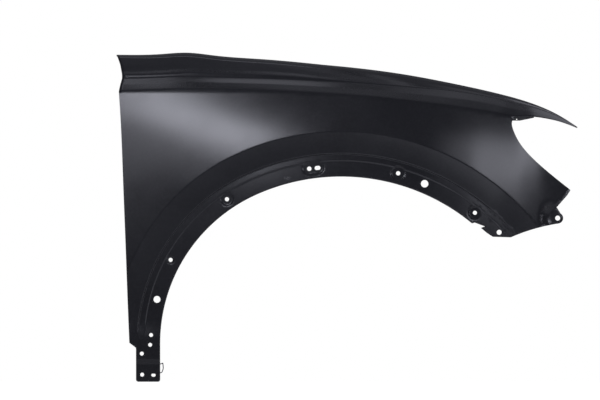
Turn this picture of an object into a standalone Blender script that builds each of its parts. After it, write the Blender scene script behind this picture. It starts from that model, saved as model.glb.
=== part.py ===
"""Right-hand front fender of a small sports utility car.

One pressed steel panel, with a lamp bracket under its rail flange and a liner clip behind its leg.
Units are metres. +X points to the front of the car, +Z up, and the outer side of the panel faces -Y.

The panel is drawn from the centre of its wheel arch. Places along X are shares of the reach from
there to the rear tip (negative) or to the nose tip (positive), and places along Z are shares of
the rise from there to the top of the panel. Depths run inboard, along +Y, from the widest point.
"""

import math

import bmesh
import bpy
import numpy as np
from mathutils import Vector
from mathutils.geometry import delaunay_2d_cdt

# Wheel arch: the leg's straight edge, a rear arc and a wider front arc, tangent to each other
ARCH_REAR_RADIUS = 0.3664
ARCH_FRONT_RADIUS = 0.4658
ARCH_JOIN_DEG = 114.0
ARCH_END_DEG = 50.7

# Overall sizes, from the centre of the rear arc
WIDTH_BEHIND_ARCH = 0.0992
REAR_REACH = ARCH_REAR_RADIUS + WIDTH_BEHIND_ARCH
FRONT_REACH = 0.5744
RISE = 0.6548
SHEET = 0.0008

# Section of the arch, as widths measured outward from its edge
FLANGE_WIDTH = 0.0345
FLANGE_BEND_RUN = 0.0028
STEP_START = 0.0495
STEP_RUN = 0.0030
LIP_WIDTH = 0.1015
LIP_LINE_SHARES = (0.45, 0.75, 1.0)
LIP_START_DEG = 170.0
FOLD_OVERRUN_DEG = 12.0

# Section of the arch, as depths inboard of the side
LIP_SLOPE_OUTER = 0.46
LIP_SLOPE_INNER = 0.14
STEP_DEPTH = 0.0040
FLANGE_BEND_DEPTH = 0.0016

# Apron at the front end of the arch: degrees about the front arc, and shares of the lip width
APRON_EDGE_SHARES = (
    (50.3, 0.051), (48.7, 0.098), (47.5, 0.138), (48.05, 0.053),
    (45.8, 0.064), (44.0, 0.096), (40.7, 0.382),
)
APRON_BOW_SHARE = 0.033

# Leg below the arch, with the foot pad that is fixed to the sill
LEG_DROP = 0.0866
LEG_SET_BACK = 0.0150
LEG_INSET = 0.0300
LEG_SHOULDER_DROP = 0.0133
LEG_CORNER_RADIUS = 0.0050
LEG_BLEND_RISE = 0.0500
LEG_FLAT_START = 0.0040
FOOT_PAD_HEIGHT = 0.0400
FOOT_PAD_STEP = 0.0030
FOOT_PAD_STEP_RUN = 0.0110

# Side surface: depth along the car as shares of the nose sweep, and up it as shares of the lean
NOSE_SWEEP = 0.130
SIDE_PLAN_SHARES = (
    (-1.0, 0.14), (-0.7, 0.07), (-0.35, 0.02), (0.0, 0.0), (0.3, 0.025),
    (0.5, 0.095), (0.7, 0.27), (0.85, 0.55), (1.0, 1.0),
)
SIDE_LEAN = 0.018
SIDE_SECTION_SHARES = (
    (-0.3, 0.30), (0.0, 0.12), (0.2, 0.02), (0.4, 0.0), (0.6, 0.10), (0.75, 0.42), (0.88, 1.0),
)

# Outline, as shares along X and up Z
HOOD_EDGE_SHARES = (
    (-1.0, 0.993), (-0.788, 0.995), (-0.662, 1.0), (-0.522, 0.990), (-0.294, 0.9775),
    (-0.0615, 0.963), (0.139, 0.9464), (0.327, 0.924), (0.516, 0.8928), (0.704, 0.8558),
    (0.8457, 0.8178), (0.94, 0.7784), (1.0, 0.7445),
)
CREASE_SHARES = (
    (-0.987, 0.8652), (-0.8367, 0.8686), (-0.643, 0.8728), (-0.449, 0.8731), (-0.2553, 0.8686),
    (-0.013, 0.8593), (0.1858, 0.8469), (0.3822, 0.8272), (0.5786, 0.804), (0.6964, 0.786),
    (0.7494, 0.7788), (0.8024, 0.7798), (0.8731, 0.7736), (0.932, 0.7622), (1.0, 0.7407),
)
REAR_EDGE_SHARES = (
    (-0.987, 0.8652), (-0.9782, 0.768), (-0.9661, 0.562), (-0.9535, 0.3305), (-0.9433, 0.130),
    (-0.936, 0.0017),
)
LAMP_EDGE_SHARES = (
    (0.7494, 0.7788), (0.7404, 0.7591), (0.7451, 0.7349), (0.7745, 0.6844), (0.8221, 0.6364),
    (0.8928, 0.5821), (0.9729, 0.5268),
)
NOSE_EDGE_SHARES = ((0.9591, 0.5081), (0.9175, 0.4673))
EAR_CENTRE_SHARES = (0.9214, 0.430)
EAR_RADIUS = 0.0124
EAR_START_DEG = 58.0
EAR_END_DEG = -85.0
EAR_FLAT_RADIUS = 0.0160
EAR_BLEND = 0.0300

# Shoulder between the crease and the hood gap
LAMP_CORNER_SHARE = 0.7494
SHOULDER_DEPTH = 0.090
SHOULDER_DEPTH_SHARES = (
    (-1.0, 0.86), (-0.5, 0.93), (0.0, 0.97), (0.5, 0.90), (0.75, 0.72), (0.87, 0.46),
    (0.95, 0.22), (1.0, 0.06),
)
VALLEY_SHARES = (
    (-1.0, 0.357), (-0.6, 0.350), (-0.16, 0.395), (0.11, 0.445), (0.34, 0.545), (0.46, 0.64),
    (0.58, 0.715), (0.70, 0.73), (0.80, 0.69), (1.0, 0.68),
)
BEAD_SHARES = ((-1.0, 0.096), (-0.6, 0.115), (-0.16, 0.11), (0.11, 0.055), (0.34, 0.025), (1.0, 0.02))
STRIP_SHARES = (
    (-1.0, 0.93), (-0.6, 0.885), (0.11, 0.855), (0.46, 0.81), (0.70, 0.80), (0.80, 0.76), (1.0, 0.75),
)
SHOULDER_REAR_SHARES = (
    (0.0, -0.987), (0.18, -0.9806), (0.36, -0.972), (0.58, -0.9763), (0.85, -0.9876), (1.0, -1.0),
)

# Section of the shoulder, zone by zone: the depth reached as a share of the whole, then its facets as
# shares of the zone's rise and of the zone's depth. The valley and the bead are one bead share high.
VALLEY_DEPTH_SHARE = 0.33
VALLEY_WALL_SHARE = 0.18
BEAD_WALL_SHARE = 0.86
STRIP_DEPTH_SHARE = 0.61
BELOW_VALLEY_SHARES = ((0.0, 0.0), (0.10, 0.045), (0.55, 0.485), (1.0, 1.0))
BEAD_TO_STRIP_SHARES = ((0.50, 0.46), (1.0, 1.0))
TOP_STRIP_SHARES = ((0.50, 0.34), (0.85, 0.74), (1.0, 1.0))

# Wall of the hood gap and the rail flange at its foot
HOOD_EDGE_RADIUS = 0.0020
RAIL_WALL = 0.0260
RAIL_WALL_LIMIT_SHARE = 0.62
RAIL_WIDTH = 0.0240
RAIL_REAR_SHARE = -0.95
RAIL_END_SHARE = 0.783
DATUM_BOLT_SHARE = -0.42
RAIL_BOLT_SHARES = (-0.80, DATUM_BOLT_SHARE, 0.02, 0.38, 0.685)
RAIL_PAD_HALF = 0.0220
RAIL_HOLE_RADIUS = 0.0045
DATUM_OFFSET = 0.0130

# Return flanges
DOOR_RETURN = 0.0130
LAMP_RETURN = 0.0080
RETURN_RADIUS = 0.0015

# Recessed clip pads along the arch
CLIP_PAD_RADIUS = 0.0155
CLIP_PAD_DEPTH = 0.0022
CLIP_PAD_WALL = 0.0030
CLIP_PAD_SHARES = (
    # degrees, then shares: inset of the flange width, radius and half length of the pad radius
    (151.3, 0.710, 0.61, 0.0),
    (123.7, 0.672, 1.0, 0.0),
    (97.3, 0.661, 0.97, 0.645),
    (74.8, 0.713, 1.10, 0.0),
    (51.9, 0.661, 1.03, 0.0),
)

# Clip holes in the arch flange and bolt holes in the leg
CLIP_HOLE_RADIUS = 0.0047
TOOLING_HOLE_RADIUS = 0.0080
ARCH_HOLE_SHARES = (
    # degrees, then shares: inset of the flange width, radius and half length of the clip hole radius
    (151.3, 0.710, 0.96, 0.0),
    (123.7, 0.672, 1.0, 0.0),
    (98.4, 0.667, 1.06, 0.0),
    (96.2, 0.649, 0.98, 0.43),
    (74.8, 0.713, 1.02, 0.0),
    (51.9, 0.661, 0.98, 0.0),
    (43.7, 0.783, 1.21, 0.0),
)
TOOLING_HOLE_SHARES = (
    # degrees, then shares: inset of the flange width, radius of the tooling hole radius
    (165.2, 0.580, 0.97),
    (67.3, 0.632, 1.05),
)
LEG_HOLE_RADIUS = 0.0044
LEG_HOLE_SHARES = (
    # shares: inset of the leg width, height of the leg drop, radius and half length of the hole radius
    (0.377, 0.216, 1.0, 0.0),
    (0.415, -0.039, 0.98, 0.0),
    (0.759, -0.268, 1.0, 0.0),
    (0.746, -0.815, 1.0, 0.0),
    (0.278, -0.826, 0.82, 0.27),
)
EAR_HOLE_RADIUS = 0.0056

# Lamp bracket
BRACKET_SHEET = 0.0012
SEAT_GAP = 0.0003
BRACKET_SEAT_LENGTH = 0.0180
BRACKET_SEAT_WIDTH = 0.0150
BRACKET_DROP = 0.0345
BRACKET_REACH = 0.0790
BRACKET_TAB_HEIGHT = 0.0065
BRACKET_HOLE_RADIUS = 0.0014
BRACKET_HOLE_SHARES = (0.505, 0.43)
BRACKET_FLAT_SHARE = 0.60

# Liner clip
CLIP_SHEET = 0.0020
CLIP_DEPTH = 0.0120
CLIP_HEIGHT = 0.0260
CLIP_REACH = 0.0080
CLIP_GRIP = 0.0220
CLIP_FOOT_RISE = 0.0180
CLIP_BEND_SHARES = ((0.6, 0.10), (1.0, 0.45), (0.85, 0.97))
CLIP_TOP_SHARE = 0.85

# Fineness
ARCH_STEP = 0.018
LATTICE_STEP = 0.032
LATTICE_CLEAR_SHARE = 0.55
OUTLINE_STEP = 0.030
STATION_STEP = 0.027
BLADE_STATIONS = 10
HOLE_SIDES = 12
SHARP_DEG = 25
CUT_OVERRUN = 0.010
WELD = 0.00001


def natural_curve(table):
    """Returns the natural cubic curve through a table of (place, value) pairs."""
    knots = np.array([pair[0] for pair in table], float)
    values = np.array([pair[1] for pair in table], float)
    step = np.diff(knots)
    matrix = np.eye(len(knots))
    right = np.zeros(len(knots))
    for row in range(1, len(knots) - 1):
        matrix[row, row - 1:row + 2] = step[row - 1], 2 * (step[row - 1] + step[row]), step[row]
        right[row] = 6 * (
            (values[row + 1] - values[row]) / step[row] - (values[row] - values[row - 1]) / step[row - 1]
        )
    bend = np.linalg.solve(matrix, right)

    def curve(place):
        place = np.asarray(place, float)
        span = np.clip(np.searchsorted(knots, place) - 1, 0, len(knots) - 2)
        before = place - knots[span]
        after = knots[span + 1] - place
        width = step[span]
        chord = (values[span] * after + values[span + 1] * before) / width
        low = bend[span] * (after ** 3 / width - width * after) / 6
        high = bend[span + 1] * (before ** 3 / width - width * before) / 6
        return chord + low + high

    return curve


def ease(share):
    """Eases from 0 to 1 with level ends."""
    share = np.clip(share, 0.0, 1.0)
    return share * share * (3 - 2 * share)


def x_at(share):
    """Turns a share along the car into a distance from the arch centre."""
    share = np.asarray(share, float)
    return np.where(share < 0, share * REAR_REACH, share * FRONT_REACH)


def share_at(x):
    """Turns a distance from the arch centre into a share along the car."""
    x = np.asarray(x, float)
    return np.where(x < 0, x / REAR_REACH, x / FRONT_REACH)


side_plan = natural_curve(SIDE_PLAN_SHARES)
side_section = natural_curve(SIDE_SECTION_SHARES)
hood_edge = natural_curve(HOOD_EDGE_SHARES)
crease = natural_curve(CREASE_SHARES)
shoulder_depth = natural_curve(SHOULDER_DEPTH_SHARES)
valley = natural_curve(VALLEY_SHARES)
bead = natural_curve(BEAD_SHARES)
strip = natural_curve(STRIP_SHARES)
shoulder_rear = natural_curve(SHOULDER_REAR_SHARES)


def smooth_line(shares, step):
    """Samples a smooth line through points given as shares, about one step apart."""
    corners = np.array([(float(x_at(x)), z * RISE) for x, z in shares])
    chord = np.concatenate(([0.0], np.cumsum(np.linalg.norm(np.diff(corners, axis=0), axis=1))))
    count = max(2, round(chord[-1] / step))
    places = np.linspace(0.0, chord[-1], count + 1)
    line_x = natural_curve(list(zip(chord, corners[:, 0])))(places)
    line_z = natural_curve(list(zip(chord, corners[:, 1])))(places)
    return np.column_stack((line_x, line_z))


def front_centre():
    """Gives the centre of the arch's front arc."""
    join = math.radians(ARCH_JOIN_DEG)
    offset = ARCH_FRONT_RADIUS - ARCH_REAR_RADIUS
    return np.array((-offset * math.cos(join), -offset * math.sin(join)))


def arch_point(degrees, inset):
    """Gives the point at an angle along the arch and a distance outward from its edge."""
    angle = math.radians(degrees)
    ray = np.array((math.cos(angle), math.sin(angle)))
    if degrees >= ARCH_JOIN_DEG:
        return (ARCH_REAR_RADIUS + inset) * ray
    return front_centre() + (ARCH_FRONT_RADIUS + inset) * ray


def arch_inset(x, z):
    """Gives the distance outward from the arch edge, for arrays of points."""
    centre = front_centre()
    rear = np.hypot(x, z) - ARCH_REAR_RADIUS
    front = np.hypot(x - centre[0], z - centre[1]) - ARCH_FRONT_RADIUS
    leg = -ARCH_REAR_RADIUS - x
    angle = np.degrees(np.arctan2(z, x))
    above = np.where(angle >= ARCH_JOIN_DEG, rear, front)
    return np.where((z < 0) & (x < 0), leg, above)


def lip_depth(inset):
    """Gives the depth of the arch section inboard of the side surface."""
    step_end = STEP_START + STEP_RUN
    lip_run = LIP_WIDTH - step_end
    along = np.clip(LIP_WIDTH - inset, 0.0, lip_run)
    slope_change = (LIP_SLOPE_OUTER - LIP_SLOPE_INNER) / lip_run
    lip = LIP_SLOPE_OUTER * along - slope_change * along ** 2 / 2
    step = STEP_DEPTH * np.clip((step_end - inset) / STEP_RUN, 0.0, 1.0)
    bend_end = FLANGE_WIDTH + FLANGE_BEND_RUN
    flange = FLANGE_BEND_DEPTH * np.clip((bend_end - inset) / FLANGE_BEND_RUN, 0.0, 1.0)
    return lip + step + flange


def slot_distance(x, z, centre, half_length, degrees):
    """Gives the distance from the middle line of a round or long hole or pad."""
    angle = math.radians(degrees - 90)
    along = (x - centre[0]) * math.cos(angle) + (z - centre[1]) * math.sin(angle)
    across = (z - centre[1]) * math.cos(angle) - (x - centre[0]) * math.sin(angle)
    return np.hypot(np.maximum(np.abs(along) - half_length, 0.0), across)


def side_depth(x, z):
    """Gives the depth of the crowned side surface, without the arch section."""
    plan = NOSE_SWEEP * side_plan(share_at(x))
    section = SIDE_LEAN * side_section(z / RISE)
    return plan + section


def ear_centre():
    """Gives the centre of the front ear."""
    return np.array((float(x_at(EAR_CENTRE_SHARES[0])), EAR_CENTRE_SHARES[1] * RISE))


def panel_depth(x, z):
    """Gives the depth of the pressed side, arch section, leg and ear, without the clip pads."""
    x = np.asarray(x, float)
    z = np.asarray(z, float)
    depth = side_depth(x, z) + lip_depth(arch_inset(x, z))

    ear_x, ear_z = ear_centre()
    ear_depth = float(side_depth(ear_x, ear_z))
    leaving = ease((np.hypot(x - ear_x, z - ear_z) - EAR_FLAT_RADIUS) / EAR_BLEND)
    depth = ear_depth + (depth - ear_depth) * leaving

    foot_top = FOOT_PAD_HEIGHT + FOOT_PAD_STEP_RUN - LEG_DROP
    foot = FOOT_PAD_STEP * np.clip((foot_top - z) / FOOT_PAD_STEP_RUN, 0.0, 1.0)
    leg = LEG_INSET + foot
    rising = ease((z - LEG_FLAT_START) / LEG_BLEND_RISE)
    return np.where(x < 0, leg + (depth - leg) * rising, depth)


def clip_pads():
    """Gives the angle, centre, radius and half length of each recessed clip pad."""
    pads = []
    for degrees, inset, radius, half_length in CLIP_PAD_SHARES:
        centre = arch_point(degrees, inset * FLANGE_WIDTH)
        pads.append((degrees, centre, radius * CLIP_PAD_RADIUS, half_length * CLIP_PAD_RADIUS))
    return pads


def pressed_depth(x, z):
    """Gives the depth of the whole pressed side."""
    depth = panel_depth(x, z)
    for degrees, centre, radius, half_length in clip_pads():
        floor = float(panel_depth(*centre)) + CLIP_PAD_DEPTH
        away = slot_distance(x, z, centre, half_length, degrees)
        inside = np.clip((radius - away) / CLIP_PAD_WALL, 0.0, 1.0)
        depth = depth + (floor - depth) * inside
    return depth


def slot_ring(centre, radius, half_length, degrees, sides):
    """Gives the closed outline of a round or long hole or pad."""
    turn = math.radians(degrees - 90)
    ring = []
    for index in range(sides):
        angle = math.tau * (index + 0.5) / sides
        along = radius * math.cos(angle) + math.copysign(half_length, math.cos(angle))
        across = radius * math.sin(angle)
        ring.append((
            centre[0] + along * math.cos(turn) - across * math.sin(turn),
            centre[1] + along * math.sin(turn) + across * math.cos(turn),
        ))
    return np.array(ring)


def arch_line(inset, first_degrees, last_degrees):
    """Samples a line at a fixed distance outward from the arch edge."""
    travel = math.radians(first_degrees - last_degrees) * (ARCH_REAR_RADIUS + inset)
    count = max(2, round(travel / ARCH_STEP))
    places = np.linspace(first_degrees, last_degrees, count + 1)
    return np.array([arch_point(degrees, inset) for degrees in places])


def rail_place(x):
    """Gives the place along the loft at which the rail flange passes a distance from the arch centre."""
    rear = float(x_at(RAIL_REAR_SHARE))
    return (x - rear) / (FRONT_REACH - rear)


def station_shares():
    """Gives the loft's stations from the rear edge to the nose tip, as shares of the crease line.

    Both ends of each rail pad have a station, so that the pads are flat.
    """
    length = REAR_REACH + FRONT_REACH
    pad_ends = []
    for share in RAIL_BOLT_SHARES:
        bolt = float(x_at(share))
        pad_ends += [rail_place(bolt - RAIL_PAD_HALF), rail_place(bolt + RAIL_PAD_HALF)]
    crease_rear = -SHOULDER_REAR_SHARES[0][1] * REAR_REACH
    corner = (float(x_at(LAMP_CORNER_SHARE)) + crease_rear) / (FRONT_REACH + crease_rear)
    count = round(corner * length / STATION_STEP)
    regular = [corner * index / count for index in range(count + 1)]
    near = STATION_STEP / length / 3
    kept = [share for share in regular if min(abs(share - end) for end in pad_ends) > near]
    kept = {0.0, corner, *kept, *(end for end in pad_ends if end < corner - near / 2)}
    blade = [corner + (1 - corner) * (index + 1) / BLADE_STATIONS for index in range(BLADE_STATIONS)]
    return sorted(kept) + blade, corner


def rail_level(x):
    """Gives the height of the rail flange, which is level at each bolt pad."""
    bolts = [float(x_at(share)) for share in RAIL_BOLT_SHARES]
    knots = []
    held = []
    for bolt in bolts:
        knots += [bolt - RAIL_PAD_HALF, bolt + RAIL_PAD_HALF]
        held += [bolt, bolt]
    knots = [-REAR_REACH] + knots + [FRONT_REACH]
    held = [-REAR_REACH] + held + [FRONT_REACH]
    level_x = np.interp(x, knots, held)
    top = hood_edge(share_at(level_x)) * RISE
    rise = top - crease(share_at(level_x)) * RISE
    return top - np.minimum(RAIL_WALL, RAIL_WALL_LIMIT_SHARE * rise)


def shoulder_rows(share):
    """Gives the shoulder section as (share of the rise, share of the depth) pairs, crease to hood edge."""
    foot = float(valley(share))
    width = float(bead(share))
    edge = float(strip(share))
    ridge = foot + width
    ridge_depth = VALLEY_DEPTH_SHARE + VALLEY_WALL_SHARE * width
    crown = ridge + width
    crown_depth = ridge_depth + BEAD_WALL_SHARE * width
    rows = []
    for low, high, low_depth, high_depth, shares in (
        (0.0, foot, 0.0, VALLEY_DEPTH_SHARE, BELOW_VALLEY_SHARES),
        (foot, ridge, VALLEY_DEPTH_SHARE, ridge_depth, ((1.0, 1.0),)),
        (ridge, crown, ridge_depth, crown_depth, ((1.0, 1.0),)),
        (crown, edge, crown_depth, STRIP_DEPTH_SHARE, BEAD_TO_STRIP_SHARES),
        (edge, 1.0, STRIP_DEPTH_SHARE, 1.0, TOP_STRIP_SHARES),
    ):
        for rise_share, depth_share in shares:
            rows.append((low + (high - low) * rise_share, low_depth + (high_depth - low_depth) * depth_share))
    return rows


def shoulder_section(place):
    """Gives the loft's section at one station: its skin, the hood gap wall and the rail flange."""
    length = REAR_REACH + FRONT_REACH
    section = []
    for rise_share, depth_share in shoulder_rows(float(share_at(place * length - REAR_REACH))):
        rear_x = float(x_at(shoulder_rear(rise_share)))
        x = rear_x + (FRONT_REACH - rear_x) * place
        share = float(share_at(x))
        low = float(crease(share)) * RISE
        high = float(hood_edge(share)) * RISE
        depth = float(side_depth(x, low)) + SHOULDER_DEPTH * float(shoulder_depth(share)) * depth_share
        section.append((x, depth, low + (high - low) * rise_share))
    x, edge_depth, top = section[-1]
    rail_rear = float(x_at(RAIL_REAR_SHARE))
    rail_x = rail_rear + (FRONT_REACH - rail_rear) * place
    level = float(rail_level(rail_x))
    roll = min(HOOD_EDGE_RADIUS, (top - level) / 3)
    section += [
        (x, edge_depth + roll, top - roll / 2),
        (x, edge_depth + roll * 1.5, top - roll * 1.5),
        (rail_x, edge_depth + roll * 1.5, level + roll),
        (rail_x, edge_depth + roll * 2, level),
        (rail_x, edge_depth + roll * 2 + RAIL_WIDTH / 2, level),
        (rail_x, edge_depth + RAIL_WIDTH + roll, level),
    ]
    return section


def build_shoulder(cage):
    """Lofts the shoulder, the wall of the hood gap and the rail flange. Returns the crease line."""
    stations, corner = station_shares()
    rail_last = rail_place(float(x_at(RAIL_END_SHARE)))
    wall_rows = 3
    grid = [[cage.verts.new(point) for point in shoulder_section(place)] for place in stations]
    for index in range(len(stations) - 1):
        skin_rows = len(grid[index]) - wall_rows
        rows = len(grid[index]) - 1 if stations[index + 1] <= rail_last else skin_rows
        for row in range(rows):
            here, ahead = grid[index], grid[index + 1]
            cage.faces.new((here[row], ahead[row], ahead[row + 1], here[row + 1]))
    return np.array([
        (column[0].co.x, column[0].co.z) for column, place in zip(grid, stations) if place <= corner + WELD
    ])


def leg_left():
    """Gives the rear side of the leg, set in from the foot of the rear edge."""
    return float(x_at(REAR_EDGE_SHARES[-1][0])) + LEG_SET_BACK


def leg_outline():
    """Gives the outline of the leg, from the foot of the rear edge to the arch's rear end."""
    right = -ARCH_REAR_RADIUS
    left = leg_left()
    radius = LEG_CORNER_RADIUS
    shoulder = REAR_EDGE_SHARES[-1][1] * RISE - LEG_SHOULDER_DROP
    points = [
        (left - radius / 6, shoulder + radius / 2),
        (left, shoulder),
    ]
    for centre_x, first in ((left + radius, 180), (right - radius, 270)):
        for step in range(4):
            angle = math.radians(first + 30 * step)
            points.append((centre_x + radius * math.cos(angle), radius - LEG_DROP + radius * math.sin(angle)))
    return np.array(points)


def front_outline():
    """Gives the outline from the lamp edge's foot round the ear and the apron to the arch's front end."""
    nose = [(float(x_at(x)), z * RISE) for x, z in NOSE_EDGE_SHARES]
    centre = ear_centre()
    ear = []
    for degrees in np.linspace(EAR_START_DEG, EAR_END_DEG, 8):
        angle = math.radians(degrees)
        ear.append((centre[0] + EAR_RADIUS * math.cos(angle), centre[1] + EAR_RADIUS * math.sin(angle)))
    apron = [arch_point(degrees, share * LIP_WIDTH) for degrees, share in reversed(APRON_EDGE_SHARES)]
    start = np.array(ear[-1])
    chord = apron[0] - start
    rise = np.array((chord[1], -chord[0]))
    bow = []
    for along in (0.25, 0.5, 0.75):
        bow.append(start + chord * along + rise * APRON_BOW_SHARE * 4 * along * (1 - along))
    return np.array(nose + ear + [tuple(point) for point in bow] + [tuple(point) for point in apron])


class Blank:
    """The flat blank of the side: points and lines to be joined by triangles."""

    def __init__(self):
        self.points = []
        self.edges = []
        self.names = []

    def add(self, line, name, closed=False):
        first = len(self.points)
        count = len(line)
        self.points += [tuple(point) for point in line]
        for index in range(count if closed else count - 1):
            self.edges.append((first + index, first + (index + 1) % count))
            self.names.append(name)


def inside(points, ring):
    """Tells which points lie inside a closed ring."""
    points = np.asarray(points, float)
    found = np.zeros(len(points), bool)
    for start, end in zip(ring, np.roll(ring, -1, axis=0)):
        crosses = (start[1] > points[:, 1]) != (end[1] > points[:, 1])
        rise = end[1] - start[1] if end[1] != start[1] else 1.0
        meeting = start[0] + (points[:, 1] - start[1]) * (end[0] - start[0]) / rise
        found ^= crosses & (points[:, 0] < meeting)
    return found


def side_holes():
    """Gives the ring of each hole in the side."""
    rings = []
    for degrees, inset, radius, half_length in ARCH_HOLE_SHARES:
        centre = arch_point(degrees, inset * FLANGE_WIDTH)
        size = CLIP_HOLE_RADIUS
        rings.append(slot_ring(centre, radius * size, half_length * size, degrees, HOLE_SIDES))
    for degrees, inset, radius in TOOLING_HOLE_SHARES:
        centre = arch_point(degrees, inset * FLANGE_WIDTH)
        rings.append(slot_ring(centre, radius * TOOLING_HOLE_RADIUS, 0.0, degrees, HOLE_SIDES))
    leg_width = -ARCH_REAR_RADIUS - leg_left()
    for inset, height, radius, half_length in LEG_HOLE_SHARES:
        centre = (-ARCH_REAR_RADIUS - inset * leg_width, height * LEG_DROP)
        size = LEG_HOLE_RADIUS
        rings.append(slot_ring(centre, radius * size, half_length * size, 90, HOLE_SIDES))
    rings.append(slot_ring(ear_centre(), EAR_HOLE_RADIUS, 0.0, 90, HOLE_SIDES))
    return rings


def fold_lines():
    """Gives the lines along which the arch section and the leg are folded."""
    lines = []
    last = APRON_EDGE_SHARES[-1][0] - FOLD_OVERRUN_DEG
    step_end = STEP_START + STEP_RUN
    for inset in (FLANGE_WIDTH, FLANGE_WIDTH + FLANGE_BEND_RUN, STEP_START, step_end):
        lines.append(arch_line(inset, 180.0, last))
    for share in LIP_LINE_SHARES:
        lines.append(arch_line(step_end + (LIP_WIDTH - step_end) * share, LIP_START_DEG, last))
    right = -ARCH_REAR_RADIUS + CUT_OVERRUN
    left = leg_left() - 2 * CUT_OVERRUN
    foot = FOOT_PAD_HEIGHT - LEG_DROP
    for height in (foot, foot + FOOT_PAD_STEP_RUN, LEG_FLAT_START - LEG_CORNER_RADIUS / 2):
        lines.append(np.array([(left, height), (right, height)]))
    return lines


def draw_blank(crease_line):
    """Draws the blank's outline, holes, pads and fold lines. Returns it with its outline and holes."""
    rear_line = smooth_line(REAR_EDGE_SHARES, OUTLINE_STEP)
    lamp_line = smooth_line(LAMP_EDGE_SHARES, OUTLINE_STEP / 2)
    rear_line[0] = crease_line[0]
    lamp_line[0] = crease_line[-1]
    leg = leg_outline()
    arch = arch_line(0.0, 180.0, ARCH_END_DEG)
    front = front_outline()
    pieces = (
        ("door", rear_line), ("leg", leg), ("arch", arch), ("apron", front[::-1]),
        ("lamp", lamp_line[::-1]), ("crease", crease_line[::-1]),
    )
    outline = []
    names = []
    for name, line in pieces:
        for point in line:
            if outline and np.hypot(*(np.array(point) - outline[-1])) < WELD:
                names[-1] = name
                continue
            outline.append(np.array(point))
            names.append(name)
    outline = outline[:-1]
    blank = Blank()
    blank.add(outline, "edge", closed=True)
    for index in range(len(outline)):
        blank.names[index] = names[index]
    holes = side_holes()
    for ring in holes:
        blank.add(ring, "hole", closed=True)
    for degrees, centre, radius, half_length in clip_pads():
        for size in (radius, radius - CLIP_PAD_WALL):
            blank.add(slot_ring(centre, size, half_length, degrees, HOLE_SIDES + 4), "pad", closed=True)
    for line in fold_lines():
        blank.add(line, "fold")
    return blank, np.array(outline), holes


def scatter(blank, outline):
    """Adds a staggered lattice of points to the blank, clear of what is drawn on it."""
    low = outline.min(axis=0)
    high = outline.max(axis=0)
    row_step = LATTICE_STEP * math.sqrt(3) / 2
    lattice = []
    for row in range(int((high[1] - low[1]) / row_step) + 1):
        shift = LATTICE_STEP / 2 * (row % 2)
        for column in range(int((high[0] - low[0]) / LATTICE_STEP) + 1):
            lattice.append((low[0] + column * LATTICE_STEP + shift, low[1] + row * row_step))
    lattice = np.array(lattice)
    lattice = lattice[inside(lattice, outline)]
    drawn = np.array(blank.points)
    gaps = np.min(np.linalg.norm(lattice[:, None, :] - drawn[None, :, :], axis=2), axis=1)
    blank.points += [tuple(point) for point in lattice[gaps > LATTICE_STEP * LATTICE_CLEAR_SHARE]]


def fold_return(cage, edges, offsets):
    """Folds a return flange inboard from a chain of edges, one offset at a time."""
    for offset in offsets:
        grown = bmesh.ops.extrude_edge_only(cage, edges=edges)["geom"]
        edges = [item for item in grown if isinstance(item, bmesh.types.BMEdge)]
        corners = [item for item in grown if isinstance(item, bmesh.types.BMVert)]
        bmesh.ops.translate(cage, verts=corners, vec=offset)


def build_side(cage, crease_line):
    """Presses the blank into the side, and folds the returns of the door edge and the lamp edge."""
    blank, outline, holes = draw_blank(crease_line)
    scatter(blank, outline)
    drawn = [Vector(point) for point in blank.points]
    flat, edges, faces, _, edge_sources, _ = delaunay_2d_cdt(drawn, blank.edges, [], 0, WELD)
    flat = np.array([tuple(point) for point in flat])
    centres = flat[np.array(faces)].mean(axis=1)
    kept = inside(centres, outline)
    for ring in holes:
        kept &= ~inside(centres, ring)
    depth = pressed_depth(flat[:, 0], flat[:, 1])
    corners = {}
    for face in np.array(faces)[kept]:
        for index in face:
            if index not in corners:
                corners[index] = cage.verts.new((flat[index][0], depth[index], flat[index][1]))
        cage.faces.new([corners[index] for index in face])
    returns = {"door": [], "lamp": []}
    for (start, end), sources in zip(edges, edge_sources):
        found = {blank.names[source] for source in sources}
        for name in found & set(returns):
            if start in corners and end in corners:
                returns[name].append(cage.edges.get((corners[start], corners[end])))
    for name, width, way in (("door", DOOR_RETURN, 1), ("lamp", LAMP_RETURN, -1)):
        inward = way * RETURN_RADIUS / 2
        fold_return(cage, returns[name], ((inward, RETURN_RADIUS, 0), (inward, width - RETURN_RADIUS, 0)))


def add_object(name, mesh, material, collection, parent):
    """Puts a mesh in the collection as a named object with its material."""
    item = bpy.data.objects.new(name, mesh)
    item.data.materials.append(material)
    collection.objects.link(item)
    item.parent = parent
    return item


def finish_sheet(cage, name):
    """Welds an open sheet, whose faces are drawn facing its outer side. Returns its mesh."""
    bmesh.ops.remove_doubles(cage, verts=cage.verts, dist=WELD)
    mesh = bpy.data.meshes.new(name)
    cage.to_mesh(mesh)
    cage.free()
    mesh.shade_smooth()
    mesh.set_sharp_from_angle(angle=math.radians(SHARP_DEG))
    return mesh


def thicken(item, thickness):
    """Gives a sheet its thickness, inboard of its outer side."""
    solid = item.modifiers.new("sheet", "SOLIDIFY")
    solid.thickness = thickness
    solid.offset = -1.0
    solid.use_even_offset = True


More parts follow.
